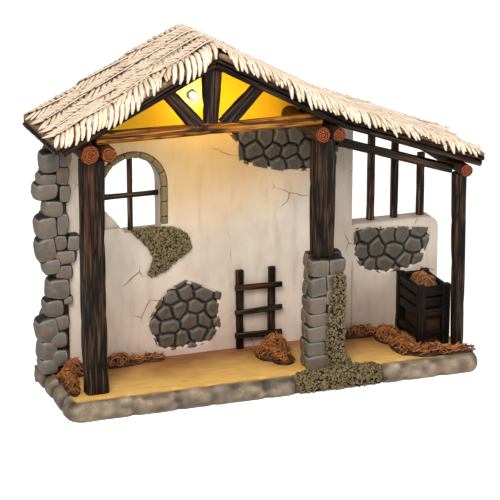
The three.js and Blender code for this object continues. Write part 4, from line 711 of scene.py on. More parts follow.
def pier():
    """Front stones from the list, then eight courses of three stones, 14.3 apart."""
    heap = Heap()
    for i, (x, z, wide, tall) in enumerate(PIER_FRONT_STONES):
        boulder(heap, (x, -39, z), (wide * 1.1, 15, tall * 1.12), i + 70, [FRONT, LEFT if x < 52 else RIGHT], 4.2)
    for row in range(8):
        z, flare = 25 + row * 14.3, (7 - row) * 0.5
        for k, (x, wide) in enumerate(((41.5 - flare, 13.5), (54, 15), (64, 14))):
            place = (x, -29 + (1 if row % 2 else -1), z + spread(row + k * 3, 1.2))
            shown = [[LEFT, BACK], [BACK], [RIGHT, BACK]][k]
            boulder(heap, place, (wide * 1.1, 13.5, 16.6), row * 7 + k + 90, shown, 4.2)
    block(heap, (38, -42, 18), (68, -26, 129.5), 0.3)
    heap.make("pier_fieldstones", PIER_STONE, "fieldstone", ["pier_center"])


pier()

# %% [markdown]
# ## Hewn timber and logs
# A timber is a soft rectangle swept along a line. Grooves run with the grain: a noise stretched along
# the timber is folded to 1 - |2n - 1|, which is sharp where n crosses one half, and the surface sinks
# there. A log is the same with a round section, and its cut ends show rings.

# %% Timber function
def section(width, depth, power, count):
    """count points spaced evenly round |2x/width|^p + |2y/depth|^p = 1."""
    angle = np.linspace(0, 2 * np.pi, 721)
    c, s = np.cos(angle), np.sin(angle)
    reach = (np.abs(2 * c / width) ** power + np.abs(2 * s / depth) ** power) ** (-1 / power)
    x, y = reach * c, reach * s
    run = np.concatenate([[0], np.cumsum(np.hypot(np.diff(x), np.diff(y)))])
    at = np.linspace(0, run[-1], count, endpoint=False)
    return np.stack([np.interp(at, run, x), np.interp(at, run, y)], -1)


AROUND, ALONG, ROUNDED = 1.5, 3.5, 0.8  # mm between points, between sections, and rounded off at each end
CUT_RINGS = np.array([0.1, 0.35, 0.6, 0.8, 0.94])


def timber(heap, start, end, width, depth, across=(1, 0, 0), seed=0.0, taper=1.0, power=5.5, groove=0.8):
    """Adds a member from start to end: width along across, depth square to it, width * taper at the end.

    Its surface sinks by groove * sunk - lumps, and drift bends it. Each cut end has the five CUT_RINGS.
    """
    start, end, across = (np.array(v, float) for v in (start, end, across))
    length = np.linalg.norm(end - start)
    along = (end - start) / length
    across = across - along * (across @ along)
    across = across / np.linalg.norm(across)
    third = np.cross(along, across)
    count = max(20, int(2 * (width + depth) / AROUND))
    outline = section(width, depth, power, count)
    body = np.linspace(ROUNDED, length - ROUNDED, max(5, int(length / ALONG)))
    t = np.concatenate([np.zeros(5), body, np.full(5, length)])
    scale = np.concatenate([CUT_RINGS, np.ones(len(body)), CUT_RINGS[::-1]])
    cut = np.concatenate([np.ones(5), np.zeros(len(body)), np.ones(5)])
    grow = 1 + (taper - 1) * t / length
    u = outline[:, 0] * (scale * grow)[:, None]
    v = outline[:, 1] * scale[:, None]
    where = xyz(outline[:, 0] + 0 * u, outline[:, 1] + 0 * u, t[:, None] / 16 + 0 * u) + seed * 7.3
    fine = 1 - np.abs(2 * noise(where, 2.6, seed) - 1)
    broad = 1 - np.abs(2 * noise(where, 6.5, seed + 4) - 1)
    sunk = np.clip(0.75 * fine ** 7 + 0.9 * broad ** 9, 0, 1)
    size = np.hypot(outline[:, 0], outline[:, 1])
    lumps = (noise(where * np.array([1, 1, 2.5]), 8, seed + 8) - 0.5) * min(width, depth) * 0.05
    shrink = 1 - (groove * sunk - lumps) / size * (1 - 0.5 * cut[:, None])
    drift = (noise(xyz(t, seed, 0), 40, seed) - 0.5) * min(width, depth) * 0.06
    points = (start + along * t[:, None, None] + across * (u * shrink + drift[:, None])[..., None]
              + third * (v * shrink)[..., None])
    grain = xyz(u * MM, v * MM, t[:, None] * MM + 0 * u) + chance(seed) * 0.3
    relief = np.where(cut[:, None] > 0, 0.75, 1 - sunk)
    middle = np.stack([start, end])
    faces = grid_faces(len(t), count, wrap=True)
    k = np.arange(count)
    first, last = len(t) * count, len(t) * count + 1
    fan_start = np.stack([np.roll(k, -1), k, np.full(count, first)], -1)
    fan_end = np.stack([k, np.roll(k, -1), np.full(count, last)], -1) + [(len(t) - 1) * count, (len(t) - 1) * count, 0]
    centre_grain = xyz([0, 0], [0, 0], [0, length * MM]) + chance(seed) * 0.3
    heap.add(np.concatenate([points.reshape(-1, 3), middle]), faces, fan_start, fan_end,
             grain=np.concatenate([grain.reshape(-1, 3), centre_grain]),
             relief=np.append(relief.ravel(), [0.75, 0.75]),
             ring=np.append(np.repeat(cut, count), [1, 1]),
             radial=np.append((scale[:, None] * size).ravel(), [0, 0]))


def one_timber(node, material, start, end, width, depth, slot="timber", **more):
    """A single timber that stands for the CAD node of the same name."""
    heap = Heap()
    timber(heap, start, end, width, depth, **more)
    heap.make(node + "_hewn", material, slot, [node])


def mm_box(node):
    """The low and the high corner of a CAD node's box, in mm."""
    return [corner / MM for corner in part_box(node)]


print("timber function ready")

# %% [markdown]
# The upright posts are dark, deeply fluted and a little uneven. The tie beam across the gable is
# golden brown. King post and braces fan out from its middle to the rafters.

# %% Posts, beams and truss
FLOOR, TRUSS_Y, UP = 17.8, -41, (0, 0, 1)
TOP = {node: mm_box(node)[1][2] for node in ("post_right", "king_post", "brace_left", "brace_right")}
low, high = mm_box("leanto_beam")
FRAME = [  # node, foot, top, width, depth, groove, and what isn't usual
    ("post_left", (-181.6, -31, FLOOR), (-181.6, -31, 250.4), 23.5, 18, 1.6, {}),
    ("post_center", (51, -31, 130.3), (51, -31, 249.8), 23.2, 18, 1.6, {}),
    ("post_right", (198, -32.5, FLOOR), (196, -33, TOP["post_right"]), 11, 12.3, 0.9, {"taper": 1.25}),
    ("tie_beam", (-180, TRUSS_Y, 271.7), (45, TRUSS_Y, 271.7), 11.3, 10, 1.0, {"across": UP, "slot": "tie_beam"}),
    ("king_post", (-66.8, TRUSS_Y, 277.5), (-64.9, TRUSS_Y, TOP["king_post"] - 1), 14.4, 9, 1.2, {"taper": 1.5}),
    ("brace_left", (-79, TRUSS_Y, 273.5), (-112, TRUSS_Y, TOP["brace_left"] + 1), 15.5, 9, 1.2, {"taper": 0.8}),
    ("brace_right", (-53.5, TRUSS_Y, 273.5), (-16.5, TRUSS_Y, TOP["brace_right"] + 1), 15.5, 9, 1.2, {"taper": 0.8}),
    ("leanto_beam", (low[0] + 1, -33, high[2] - 4.5), (high[0] - 1, -33, low[2] + 4.5), 9, 10, 1.0, {"across": UP}),
]
for seed, (node, foot, top, width, depth, groove, more) in enumerate(FRAME, 1):
    paint = GOLD_WOOD if node == "tie_beam" else DARK_WOOD
    one_timber(node, paint, foot, top, width, depth, seed=seed, groove=groove, **more)
for i, x in enumerate((136, 162.3, 191)):
    node = f"slat_{i + 1}"
    one_timber(node, BROWN_WOOD, (x, 50, 135.3), (x, 50, mm_box(node)[1][2] - 0.5), 7.5, 7, seed=20 + i, groove=0.5)

# %% [markdown]
# Rafters lie on their side under the thatch, where their fluted faces show below the leaves. The decks
# of boards between rafters and thatch end in a visible plank edge.

# %% Rafters and decks
RIDGE, KINK, EAVES = (-64.0, 330.0), 66.0, (-222.0, 213.0)
LEFT_SLOPE, RIGHT_SLOPE, LEANTO_SLOPE = (math.tan(math.radians(a)) for a in (25.64, 27.92, 19.55))
KINK_Z = RIDGE[1] - (KINK - RIDGE[0]) * RIGHT_SLOPE
ROOF_X = [EAVES[0], RIDGE[0], KINK, EAVES[1]]
ROOF_Z = [RIDGE[1] - (RIDGE[0] - EAVES[0]) * LEFT_SLOPE, RIDGE[1], KINK_Z, KINK_Z - (EAVES[1] - KINK) * LEANTO_SLOPE]


def roof_z(x):
    """Underside of the rafters: straight lines from eave to ridge, to the kink and to the other eave."""
    return np.interp(x, ROOF_X, ROOF_Z)


RAFTERS = {"rafter_left": (-213.5, -64), "rafter_right": (-64, 66.5), "rafter_leanto": (65.5, 212)}
DECKS = {"deck_left": [(-222, -64)], "deck_right": [(-64, 66.3), (65.7, 213)]}
for i, (node, ends) in enumerate(RAFTERS.items()):
    start, end = ((x, -43, roof_z(x) + 3.4) for x in ends)
    one_timber(node, DARK_WOOD, start, end, 6.6, 14, across=UP, seed=30 + i, groove=0.9)
for node, spans in DECKS.items():
    heap = Heap()
    for x0, x1 in spans:
        for i in range(6):
            y = -54 + (i + 0.5) * 19.5
            timber(heap, (x0, y, roof_z(x0) + 9.5), (x1, y, roof_z(x1) + 9.5), 4.3, 19.4, UP, i + x1, groove=0.7)
    heap.make(node + "_planks", DARK_WOOD, "timber", [node])

# %% [markdown]
# Round logs lie on the posts and reach from the wall to the front, where their orange cut ends show.
# Each takes its thickness and height from its solid's box, so that it stays seated.

# %% Logs
LOGS = {"log_left_outer": (-188.4, 39.7), "log_left_inner": (-170.6, 39.7), "log_center_left": (42, 38.5),
        "log_center_right": (59.3, 39.7), "log_right": (195, 56)}
for i, (node, (x, back)) in enumerate(LOGS.items()):
    low, high = mm_box(node)
    size, z = high[2] - low[2], (low[2] + high[2]) / 2
    one_timber(node, LOG, (x, -53.6, z), (x, back, z), size, size, "log", power=2.0, seed=40 + i, groove=0.7)

# %% [markdown]
# The small woodwork uses the same function: two rails and three rungs, the manger's boards and legs,
# and the two crossed bars of the window. A rung leans a little by chance, as one tied by hand does.

# %% Ladder, manger and window bars
for i, (side, x) in enumerate((("left", -10), ("right", 24))):
    one_timber("ladder_rail_" + side, DARK_WOOD, (x, 37.4, FLOOR), (x, 37.4, 101), 8, 4.6, seed=50 + i, groove=0.7)
for i, z in enumerate((33, 58.5, 83.5)):
    one_timber(f"ladder_rung_{i + 1}", DARK_WOOD, (-16.5, 32.8, z + spread(i, 1)), (33.5, 32.8, z - spread(i, 1)),
               6, 4, across=UP, seed=55 + i, groove=0.6)


def manger():
    """Two ends of crossed boards with legs, and slatted sides between them."""
    bands = [(6.5, 14.5), (28, 39), (40, 51), (52, 62.5)]
    boards = [(FLOOR + (z0 + z1) / 2, z1 - z0, z0) for z0, z1 in bands]
    for node, leg_y, board_y in (("manger_front", -17, -17.5), ("manger_back", 34.5, 35)):
        heap = Heap()
        for i, (z, tall, _) in enumerate(boards):
            timber(heap, (161.5, board_y, z), (195, board_y, z), tall - 0.3, 4.5, UP, leg_y + i, groove=0.7)
        for i, x in enumerate((165, 191.5)):
            timber(heap, (x, leg_y, FLOOR), (x, leg_y, 81.2), 9, 8, seed=leg_y + 9 + i, groove=0.7)
        heap.make(node + "_boards", BLACK_WOOD, "timber", [node])
    for node in ("manger_side_left", "manger_side_right"):
        heap, (low, high) = Heap(), mm_box(node)
        x, thick = (low[0] + high[0]) / 2, high[0] - low[0]
        for i, (z, tall, foot) in enumerate(boards):
            if low[2] - 1 < FLOOR + foot:
                timber(heap, (x, low[1] + 0.3, z), (x, high[1] - 0.3, z), tall - 0.5, thick, UP, x + i, groove=0.6)
        heap.make(node + "_boards", BLACK_WOOD, "timber", [node])


manger()
heap, (low, high) = Heap(), mm_box("window_cross")
middle_y, deep = (low[1] + high[1]) / 2, high[1] - low[1]
timber(heap, (-120, middle_y, low[2]), (-120, middle_y, high[2]), 5.5, deep, seed=60, groove=0.5)
timber(heap, (low[0], middle_y - 0.2, 187), (high[0], middle_y - 0.2, 187), 5.5, deep, UP, 61, groove=0.5)
heap.make("window_bars", BROWN_WOOD, "timber", ["window_cross"])

# %% [markdown]
# ## Window arch
# A half-round moulding follows the jambs and the arch. Thin joints cut it into voussoirs. It is swept
# along one path, because the jambs and the arch are one cast in the real piece.

# %% Arch moulding
VOUSSOIRS = 12


def arch_moulding():
    """A section is swept up one jamb, round the arch and down the other; it shrinks to 0.8 at each joint."""
    low, high = mm_box("window_arch")
    spring, radius, centre_x, sides, stations = 197.0, 32.5, -120.0, 22, 56
    arc = np.radians(np.linspace(180, 0, 145))
    rise = np.linspace(low[2], spring, stations)
    left = np.stack([np.full(stations, centre_x - radius), rise], -1)[:-1]
    right = np.stack([np.full(stations, centre_x + radius), rise[::-1]], -1)[1:]
    round_part = np.stack([centre_x + radius * np.cos(arc), spring + radius * np.sin(arc)], -1)
    path = np.concatenate([left, round_part, right])
    way = np.gradient(path, axis=0)
    way /= np.linalg.norm(way, axis=1)[:, None]
    run = np.concatenate([[0], np.cumsum(np.linalg.norm(np.diff(path, axis=0), axis=1))])
    pitch = run[-1] / VOUSSOIRS
    joint = np.abs((run / pitch) % 1 - 0.5) * pitch
    fill = np.clip((joint - 0.4) / 1.2, 0, 1)
    ring = section(6.6, high[1] - low[1], 2.6, sides)
    small = 1 - 0.2 * (1 - fill)
    small[[0, -1]] = 0.7
    offset = ring[:, 0] * small[:, None]
    depth = (low[1] + high[1]) / 2 + ring[:, 1] * small[:, None]
    points = xyz(path[:, :1] - way[:, 1:] * offset, depth, path[:, 1:] + way[:, :1] * offset)
    points += ((noise(points, 4, 3) - 0.5) * 0.7)[..., None] * np.array([1, 0, 1])
    heap = Heap()
    heap.add(points, grid_faces(len(path), sides, wrap=True), end_caps(len(path), sides),
             relief=np.repeat(0.8 * fill, sides), tone=np.repeat(chance(np.floor(run / pitch + 0.5)), sides))
    heap.make("window_arch_moulding", ARCH_STONE, "fieldstone", ["window_arch"])


arch_moulding()

# %% [markdown]
# ## Palm fronds
# A frond is a rib with two rows of leaflets that lean towards its tip. Each leaflet is a thin strip with
# a lens section, and neighbours touch, so that a dark line is left between them. Everything is first laid
# out flat: x across the slopes, y from front to back, h above the thatch. One function then bends it all
# over the roof, and what passes the front or back edge curls down round an arc of 5 mm.

# %% Roof surface
FRONT_EDGE, BACK_EDGE, CURL = -53.5, 55, 5
THATCH_TOP = np.array(ROOF_Z) + [19.1, 19.1, 19.1, 16.1]


def thatch_z(x):
    """Top of the thatch: lines 19.1 above the rafters' underside, rounded by a mean of places 6 apart."""
    x = np.asarray(x, float)
    line = [np.interp(x + shift, ROOF_X, THATCH_TOP) for shift in (-6, 0, 6)]
    return (line[0] + 2 * line[1] + line[2]) / 4


def on_roof(x, y, h):
    """Bends flat points over the roof. Past an edge by e, the arc turns by e / CURL, up to 80 degrees."""
    flat = np.clip(y, FRONT_EDGE, BACK_EDGE)
    past = np.abs(y - flat)
    angle = np.minimum(past / CURL, math.radians(80))
    rest = past - CURL * angle
    out = CURL * np.sin(angle) + rest * np.cos(angle) + h * np.sin(angle)
    down = CURL * (1 - np.cos(angle)) + rest * np.sin(angle)
    return xyz(x, flat + out * np.sign(y - flat), thatch_z(x) - down + h * np.cos(angle))


# %% Fronds
LEAFLET_STEP = 4.4
LEAF_HALF, LEAF_CREST = np.array([[1.7, 2.4, 2.6, 2.6, 2.3, 1.1], [0.9, 1.4, 1.6, 1.5, 1.2, 0.5]])
LENS_X, LENS_Z = np.array([(-1, 0.0), (-0.5, 0.75), (0, 1.0), (0.5, 0.75), (1, 0.0), (0, -0.5)]).T


def frond(heap, root, tip, width, level, seed):
    """root and tip are (x, y). Leaflets leave the rib at 82 degrees, at 44 near the tip, and bend by 10.

    A leaflet has 6 stations, LEAF_HALF wide and LEAF_CREST tall, and 6 points round its lens section.
    """
    root, tip = np.array(root, float), np.array(tip, float)
    length = np.hypot(*(tip - root))
    way = (tip - root) / length
    across = np.array([-way[1], way[0]])
    count = max(int(length / LEAFLET_STEP), 5)
    pick, side = np.arange(count), np.array([-1, 1])[:, None]
    s = (pick + 0.7) / count
    bow = spread(seed, 0.07) * length * np.sin(np.pi * s)
    rib = root + (tip - root) * s[:, None] + across * bow[:, None]
    lean = np.radians(82 - 38 * s ** 3 + (chance(pick * 1.7 + side * 5 + seed) - 0.5) * 13)
    swell = np.sin(np.pi * (0.2 + 0.68 * s)) ** 0.55
    reach = width / 2 * swell / np.sin(np.radians(60)) * (1 + spread(pick * 3.1 + side * 17 + seed, 0.09))
    u = np.linspace(0, 1, 6)
    heading = math.atan2(way[1], way[0]) + (lean[..., None] - 0.18 * u) * side[..., None]
    step_x, step_y = np.cos(heading), np.sin(heading)
    mid_x = rib[None, :, 0, None] + np.cumsum(step_x, -1) / 6 * reach[..., None]
    mid_y = rib[None, :, 1, None] + np.cumsum(step_y, -1) / 6 * reach[..., None]
    off, up = LENS_X * LEAF_HALF[:, None], LENS_Z * LEAF_CREST[:, None]
    x = mid_x[..., None] - step_y[..., None] * off
    y = mid_y[..., None] + step_x[..., None] * off
    rise = level + 1.2 * s[None, :, None, None] + 0.4 * chance(pick + seed)[None, :, None, None]
    points = on_roof(x, y, rise - 1.1 * u[:, None] ** 2 + up)
    total = 2 * count
    jump = (np.arange(total) * 36)[:, None, None]
    faces = (grid_faces(6, 6, wrap=True) + jump).reshape(-1, 4)
    caps = (np.array(end_caps(6, 6)) + jump).reshape(-1, 6)
    relief = np.clip(LENS_Z, 0, 1) * np.array([0.35, 0.75, 1, 1, 1, 0.8])[:, None] + 0.02
    tone = chance(np.arange(total) * 1.3 + seed)
    heap.add(points, faces, caps, relief=np.tile(relief.ravel(), total), tone=np.repeat(tone, 36))
    ring = np.radians(np.arange(0, 360, 60))
    thick = (0.95 - 0.35 * s)[:, None]
    x, y = (rib[:, [k]] + across[k] * np.cos(ring) * thick for k in (0, 1))
    h = level + 1.2 + 1.1 * s[:, None] + np.sin(ring) * thick
    heap.add(on_roof(x, y, h), grid_faces(count, 6, wrap=True), end_caps(count, 6), relief=0.6, tone=0.5)


def slab(heap, top, bottom, **extra):
    """A closed slab between two grids: top, the same faces turned over below, and a rim of quads."""
    rows, columns = top.shape[:2]
    faces, size = grid_faces(rows, columns), rows * columns
    index = np.arange(size).reshape(rows, columns)
    rim = np.concatenate([index[0], index[1:, -1], index[-1, -2::-1], index[-2:0:-1, 0]])
    after = np.roll(rim, -1)
    sides = np.stack([rim + size, after + size, after, rim], -1)
    heap.add(np.concatenate([top.reshape(-1, 3), bottom.reshape(-1, 3)]), faces, faces[:, ::-1] + size, sides, **extra)


def thatch_bed(heap, x0, x1):
    """The closed slab under the fronds, from the decks up to just below the leaflets."""
    x, y = np.meshgrid(np.linspace(x0, x1, 80), np.linspace(-55, 62.5, 50), indexing="ij")
    bump = noise(xyz(x, y, 0), 7, 3) * 1.4
    relief = np.append(0.2 + bump / 2.5, np.zeros(x.size))
    slab(heap, xyz(x, y, thatch_z(x) - 1.9 + bump), xyz(x, y, roof_z(x) + 12.2), relief=relief, tone=0.6)


LEFT_FRONDS = [
    ((-148, 38), (-212, 48), 48, 0.2), ((-148, 22), (-213, 10), 50, 1.1), ((-140, -10), (-214, -24), 46, 2.0),
    ((-152, -30), (-217, -46), 46, 2.8), ((-124, -34), (-190, -44), 44, 3.2),
    ((-94, 42), (-162, 52), 50, 1.8), ((-92, 26), (-164, 14), 52, 2.7), ((-90, 0), (-165, -18), 50, 3.6),
    ((-86, -30), (-154, -43), 48, 4.4),
    ((-57, 42), (-112, 48), 48, 3.0), ((-57, 22), (-116, 14), 52, 3.9), ((-58, -6), (-116, -16), 50, 4.8),
    ((-59, -33), (-112, -42), 46, 5.6),
]
FRONT_TIPS = [203, 180, 155, 131, 108, 84, 58, 31, 2, -28]


def right_fronds():
    """Front fronds end at FRONT_TIPS. Behind them, rows 38 apart, their aim swinging by 16."""
    fronds = []
    for row in range(7):
        for column in range(4):
            x, y = 207 - row * 38 - column * 7 % 16, 42 - column * 26
            swing = 16 * (-1) ** (row + column)
            fronds.append(((max(x - 70, -62), y - swing / 2), (x, y + swing / 2), 50, 0.3 + row * 0.4))
    for i, x in enumerate(FRONT_TIPS):
        fronds.append(((max(x - 58, -62), -37), (x, -43.5 - spread(i, 3)), 31 + spread(i + 3, 5), 1.6 + i * 0.3))
    return fronds


def thatch(node, fronds, x0, x1, seed):
    """One side of the roof: its fronds, and the bed under them."""
    heap, bed = Heap(), Heap()
    for i, (root, tip, width, level) in enumerate(fronds):
        frond(heap, root, tip, width, level, seed + i * 1.7)
    heap.make(node + "_fronds", PALM, "palm_thatch", [node])
    thatch_bed(bed, x0, x1)
    bed.make(node + "_bed", PALM_BED, "palm_thatch")


thatch("thatch_left", LEFT_FRONDS, -221, -63.5, 5)
thatch("thatch_right", right_fronds(), -64.5, 212, 205)

# %% [markdown]
# ## Ground and rock
# The base is one closed cast. Rings run round its outline: the inner ones make the floor, the next ones
# the soft ledge of rock, and the last ones its foot and the flat underside. The ledge swells between
# the joints of the rocks and sinks at them.

# %% Base
FRONT_JOINTS, SIDE_JOINTS, IVY_BED = [-152, -107, -72, -17, 13, 106, 129, 168], [-30, 6, 36], (13, 106)
SLAB_TOP = 17.5
LEDGE = [  # inset from the outline and height over the slab's top
    (16, 0.0), (13, 0.2), (11, 0.8), (9, 1.1), (7, 0.9), (5, 0.2), (3.3, -1.2), (1.9, -3.2), (0.9, -5.8), (0.3, -8.6),
    (0.1, -11), (0.7, -13.6), (1.6, -15.8), (2.6, -17.5),
]


def round_path(step):
    """The ledge's outer line: left side, an arc of 16 mm, front, another arc, right side."""
    arc = np.radians(np.arange(0, 91, 6))
    left_arc = np.stack([-202 - 16 * np.cos(arc), -48 - 16 * np.sin(arc)], -1)
    right_arc = np.stack([198.5 + 16 * np.sin(arc), -48 - 16 * np.cos(arc)], -1)
    return along_outline(np.concatenate([[[-218, 62.8]], left_arc, right_arc, [[214.5, 62.8]]]), step)


def pinch(value, joints, half_width):
    """1 at a joint, falling to 0 at half_width from it by (1 + cos) / 2."""
    near = np.abs(np.asarray(value)[:, None] - joints).min(1)
    return (1 + np.cos(np.pi * np.clip(near / half_width, 0, 1))) / 2


def base():
    """Rings between the outline and a middle line: 25 for the floor, then the LEDGE, moved in by push.

    Push is 2.2 at a joint of the front and 5.5 at one of the sides, plus up to 1.5 by noise.
    """
    outline, inward = round_path(1.4)
    x, y = outline.T
    is_back, front = y > 62.5, y < -60
    push = np.where(front, 2.2 * pinch(x, FRONT_JOINTS, 7), 5.5 * pinch(y, SIDE_JOINTS, 8))
    push = np.where(is_back, 0, push + noise(xyz(x, y, 0), 18, 2) * 1.5)
    ivy = front & (x > IVY_BED[0]) & (x < IVY_BED[1])
    middle = np.stack([np.clip(x, -160, 154), np.full(len(x), -1.0)], -1)
    rim, ones, zeros = outline + inward * 17, np.ones(len(x)), np.zeros(len(x))
    rings = []
    for share in np.linspace(0, 1, 26)[:-1]:
        ring = middle + (rim - middle) * share
        soft = noise(xyz(*ring.T, 0), 14, 5) * 0.5 * (1 - share ** 8)
        rings.append((xyz(*ring.T, SLAB_TOP + soft), ones, ones))
    for inset, z in LEDGE:
        shift = np.where(is_back, min(inset, 1), inset + push * (1 if inset < 8 else 0.4))
        shift = np.where(ivy, np.maximum(shift, 6.5), shift)
        ring = outline + inward * shift[:, None]
        lump = noise(xyz(*ring.T, z * 1.8), 10, 7) - 0.5
        lump = lump * (4.6 if -14 < z < 1.2 and inset < 12 else 0.3)
        height = np.where(is_back, SLAB_TOP + min(z, 0), SLAB_TOP + z + lump * 0.6 - push * 0.5 * (-12 < z < 1))
        ring = ring - inward * (lump * 0.4 * (z > -17))[:, None] * ~is_back[:, None]
        relief = np.clip(0.85 - push * 0.2 + lump * 0.3, 0, 1)
        edge = 1.0 if inset > 12 else (0.75 if inset > 10 else (0.25 if inset > 8 else 0.0))
        rings.append((xyz(*ring.T, np.clip(height, 0, 19)), relief, np.where(is_back & (z > -1), 1.0, edge)))
    rings.append((xyz(*(middle * 0.3).T, 0.0), zeros, zeros))
    points, relief, floor = (np.concatenate(part) for part in zip(*rings))
    heap = Heap()
    heap.add(points, grid_faces(len(rings), len(x), wrap=True), relief=relief, floor=floor)
    heap.make("ground_and_ledge", EARTH, "ground_and_rock", ["base_slab"])


base()

# %% [markdown]
# ## Straw
# Loose straw lies in drifts against the wall and in the corners. A drift is a smooth mound, and curved
# stems with three sides follow its surface along a flow. The direction of the flow at a place is a slow
# noise plus a turn of each stem's own, and one end of a stem may rise out of the drift.

# %% Straw drifts
DRIFTS = {
    "straw_left": [(-187, 24, 24, 24, 12), (-199, 6, 18, 34, 7), (-202, -18, 14, 34, 5)],
    "straw_back": [(-140, 32, 34, 15, 8), (-104, 34, 26, 10, 5), (-122, 33, 26, 9, 4)],
    "straw_center": [(20, 18, 30, 26, 14), (10, 6, 26, 34, 9), (18, -10, 22, 30, 5)],
    "straw_right": [(118, 31, 40, 14, 8), (142, 14, 26, 40, 9), (146, -20, 26, 44, 7), (164, -40, 38, 20, 6),
                    (190, -48, 40, 12, 4)],
}


def drift_height(x, y, mounds):
    """The highest of the mounds: tall * (1 - r^2) within each ellipse, 0 outside."""
    heights = [tall * np.clip(1 - (2 * (x - cx) / wide) ** 2 - (2 * (y - cy) / deep) ** 2, 0, 1) ** 0.8
               for cx, cy, wide, deep, tall in mounds]
    return np.max(heights, axis=0)


def tousled(x, y, mounds, seed):
    """The mounds with lumps of 7 mm, 2.2 mm high, over them."""
    return 18.0 + drift_height(x, y, mounds) + 2.2 * noise(xyz(x, y, 0), 7, seed)


STEM_WIDTHS = np.array([0.6, 0.9, 1, 1, 1, 0.85, 0.45])
HIGHEST_LIFT, FLOW_SIZE = 2.8, 34


def stems(heap, starts, height, seed, length, thick, limit):
    """Stems of 7 stations with 3 sides step along the flow; z = height + lift + rise * station^2 / 36."""
    count = len(starts)
    pick, (x, y) = np.arange(count), starts.T
    facing = np.radians(chance(pick + seed) * 130 - 65) + np.pi * (chance(pick * 2.3) > 0.5)
    each = length * (0.6 + 0.8 * chance(pick * 1.9 + seed)) / 6
    stations, ways = [], []
    for _ in range(7):
        flow = noise(xyz(x, y, 0), FLOW_SIZE, seed) * 5 + facing
        stations.append(np.stack([x, y], -1))
        ways.append(flow)
        x = np.clip(x + np.cos(flow) * each, limit[0], limit[2])
        y = np.clip(y + np.sin(flow) * each, limit[1], limit[3])
    path, ways = np.stack(stations, 1), np.stack(ways, 1)[..., None]
    lift_up = chance(pick * 5.1 + seed)[:, None] * HIGHEST_LIFT
    radius = thick * (0.7 + 0.6 * chance(pick * 3.7)[:, None]) * STEM_WIDTHS
    rise = 4.5 * chance(pick * 7.3 + seed)[:, None] ** 2
    z = height(path[..., 0], path[..., 1]) + lift_up + rise * np.arange(7) ** 2 / 36
    ring = np.radians([90, 210, 330])
    side = np.cos(ring) * radius[..., None]
    points = xyz(path[..., :1] - np.sin(ways) * side, path[..., 1:] + np.cos(ways) * side,
                 z[..., None] + np.sin(ring) * radius[..., None])
    jump = (pick * 21)[:, None, None]
    faces = (grid_faces(7, 3, wrap=True) + jump).reshape(-1, 4)
    caps = (np.array(end_caps(7, 3)) + jump).reshape(-1, 3)
    shade = (0.12 + 0.88 * (lift_up[..., None] / HIGHEST_LIFT) ** 1.4) * np.ones((1, 7, 1))
    heap.add(points, faces, caps, relief=(np.array([1.0, 0.25, 0.25]) * shade).ravel(),
             tone=np.repeat(chance(pick * 0.7 + seed), 21))


STEMS_PER_MM2, STEM_LENGTH, STEM_RADIUS = 0.2, 11, 0.55


def drift(node, mounds, seed):
    """Each mound is a cap of nine rings with stems sown evenly over its ellipse."""
    heap = Heap()
    surface = partial(tousled, mounds=mounds, seed=seed)
    for k, (cx, cy, wide, deep, tall) in enumerate(mounds):
        r, a = np.meshgrid(np.linspace(1, 0.04, 9), np.radians(np.arange(0, 360, 10)), indexing="ij")
        x, y = cx + r * np.cos(a) * wide / 2, cy + r * np.sin(a) * deep / 2
        z = FLOOR + tall * np.clip(1 - r ** 2, 0, 1) ** 0.8 - 0.4 * (r < 1)
        heap.add(xyz(x, y, z), grid_faces(9, 36, wrap=True), end_caps(9, 36), relief=0.05, tone=0.5)
        pick = np.arange(int(wide * deep * STEMS_PER_MM2))
        radius = np.sqrt(chance(pick * 1.37 + seed + k)) * 0.97
        angle = chance(pick * 2.11 + seed + k) * 2 * np.pi
        starts = np.stack([cx + radius * np.cos(angle) * wide / 2, cy + radius * np.sin(angle) * deep / 2], -1)
        limit = (cx - wide / 2, cy - deep / 2, cx + wide / 2, min(cy + deep / 2, WALL_FRONT - 0.8))
        stems(heap, starts, surface, seed + k * 3.1, STEM_LENGTH, STEM_RADIUS, limit)
    heap.make(node + "_stems", STRAW, "straw", [node])


for i, (node, mounds) in enumerate(DRIFTS.items()):
    drift(node, mounds, 11 + i * 5)


def manger_hay():
    """A mound that sags by 9 |across|^3 + 12 |along|^4 towards the box's sides, with stems over it."""
    low, high = mm_box("manger_hay")
    size, middle = high - low, (low + high) / 2
    heap = Heap()
    x, y = np.meshgrid(np.linspace(low[0], high[0], 20), np.linspace(low[1], high[1], 34), indexing="ij")

    def top(px, py):
        """The hay's height at a place: the box's top less the sag, with lumps of 8 mm."""
        across, along = (px - middle[0]) / size[0] * 2, (py - middle[1]) / size[1] * 2
        sag = 9 * np.clip(np.abs(across), 0, 1) ** 3 + 12 * np.clip(np.abs(along), 0, 1) ** 4
        return high[2] - 4.5 - sag + 3 * noise(xyz(px, py, 0), 8, 31)

    slab(heap, xyz(x, y, top(x, y)), xyz(x, y, low[2] + 0.1), relief=0.1, tone=0.5)
    pick = np.arange(300)
    starts = np.stack([low[k] + 1 + chance(pick * step) * (size[k] - 2) for k, step in ((0, 1.3), (1, 2.7))], -1)
    stems(heap, starts, top, 77.0, 13, 0.6, (low[0] + 1, low[1] + 1, high[0] - 1, high[1] - 1))
    heap.make("manger_hay_stems", HAY, "straw", ["manger_hay"])


manger_hay()

# %% [markdown]
# ## Moss and ivy
# Clump foam is crumbs of coloured sponge glued on. A dark underlay has the shape of the solid, and
# crumbs are sown over it: each triangle is chosen by its area, and a crumb sits half sunk there.

# %% Crumbs
CRUMB, CRUMB_FACES = cube_shell(2)
CRUMB = CRUMB / np.linalg.norm(CRUMB, axis=1)[:, None]


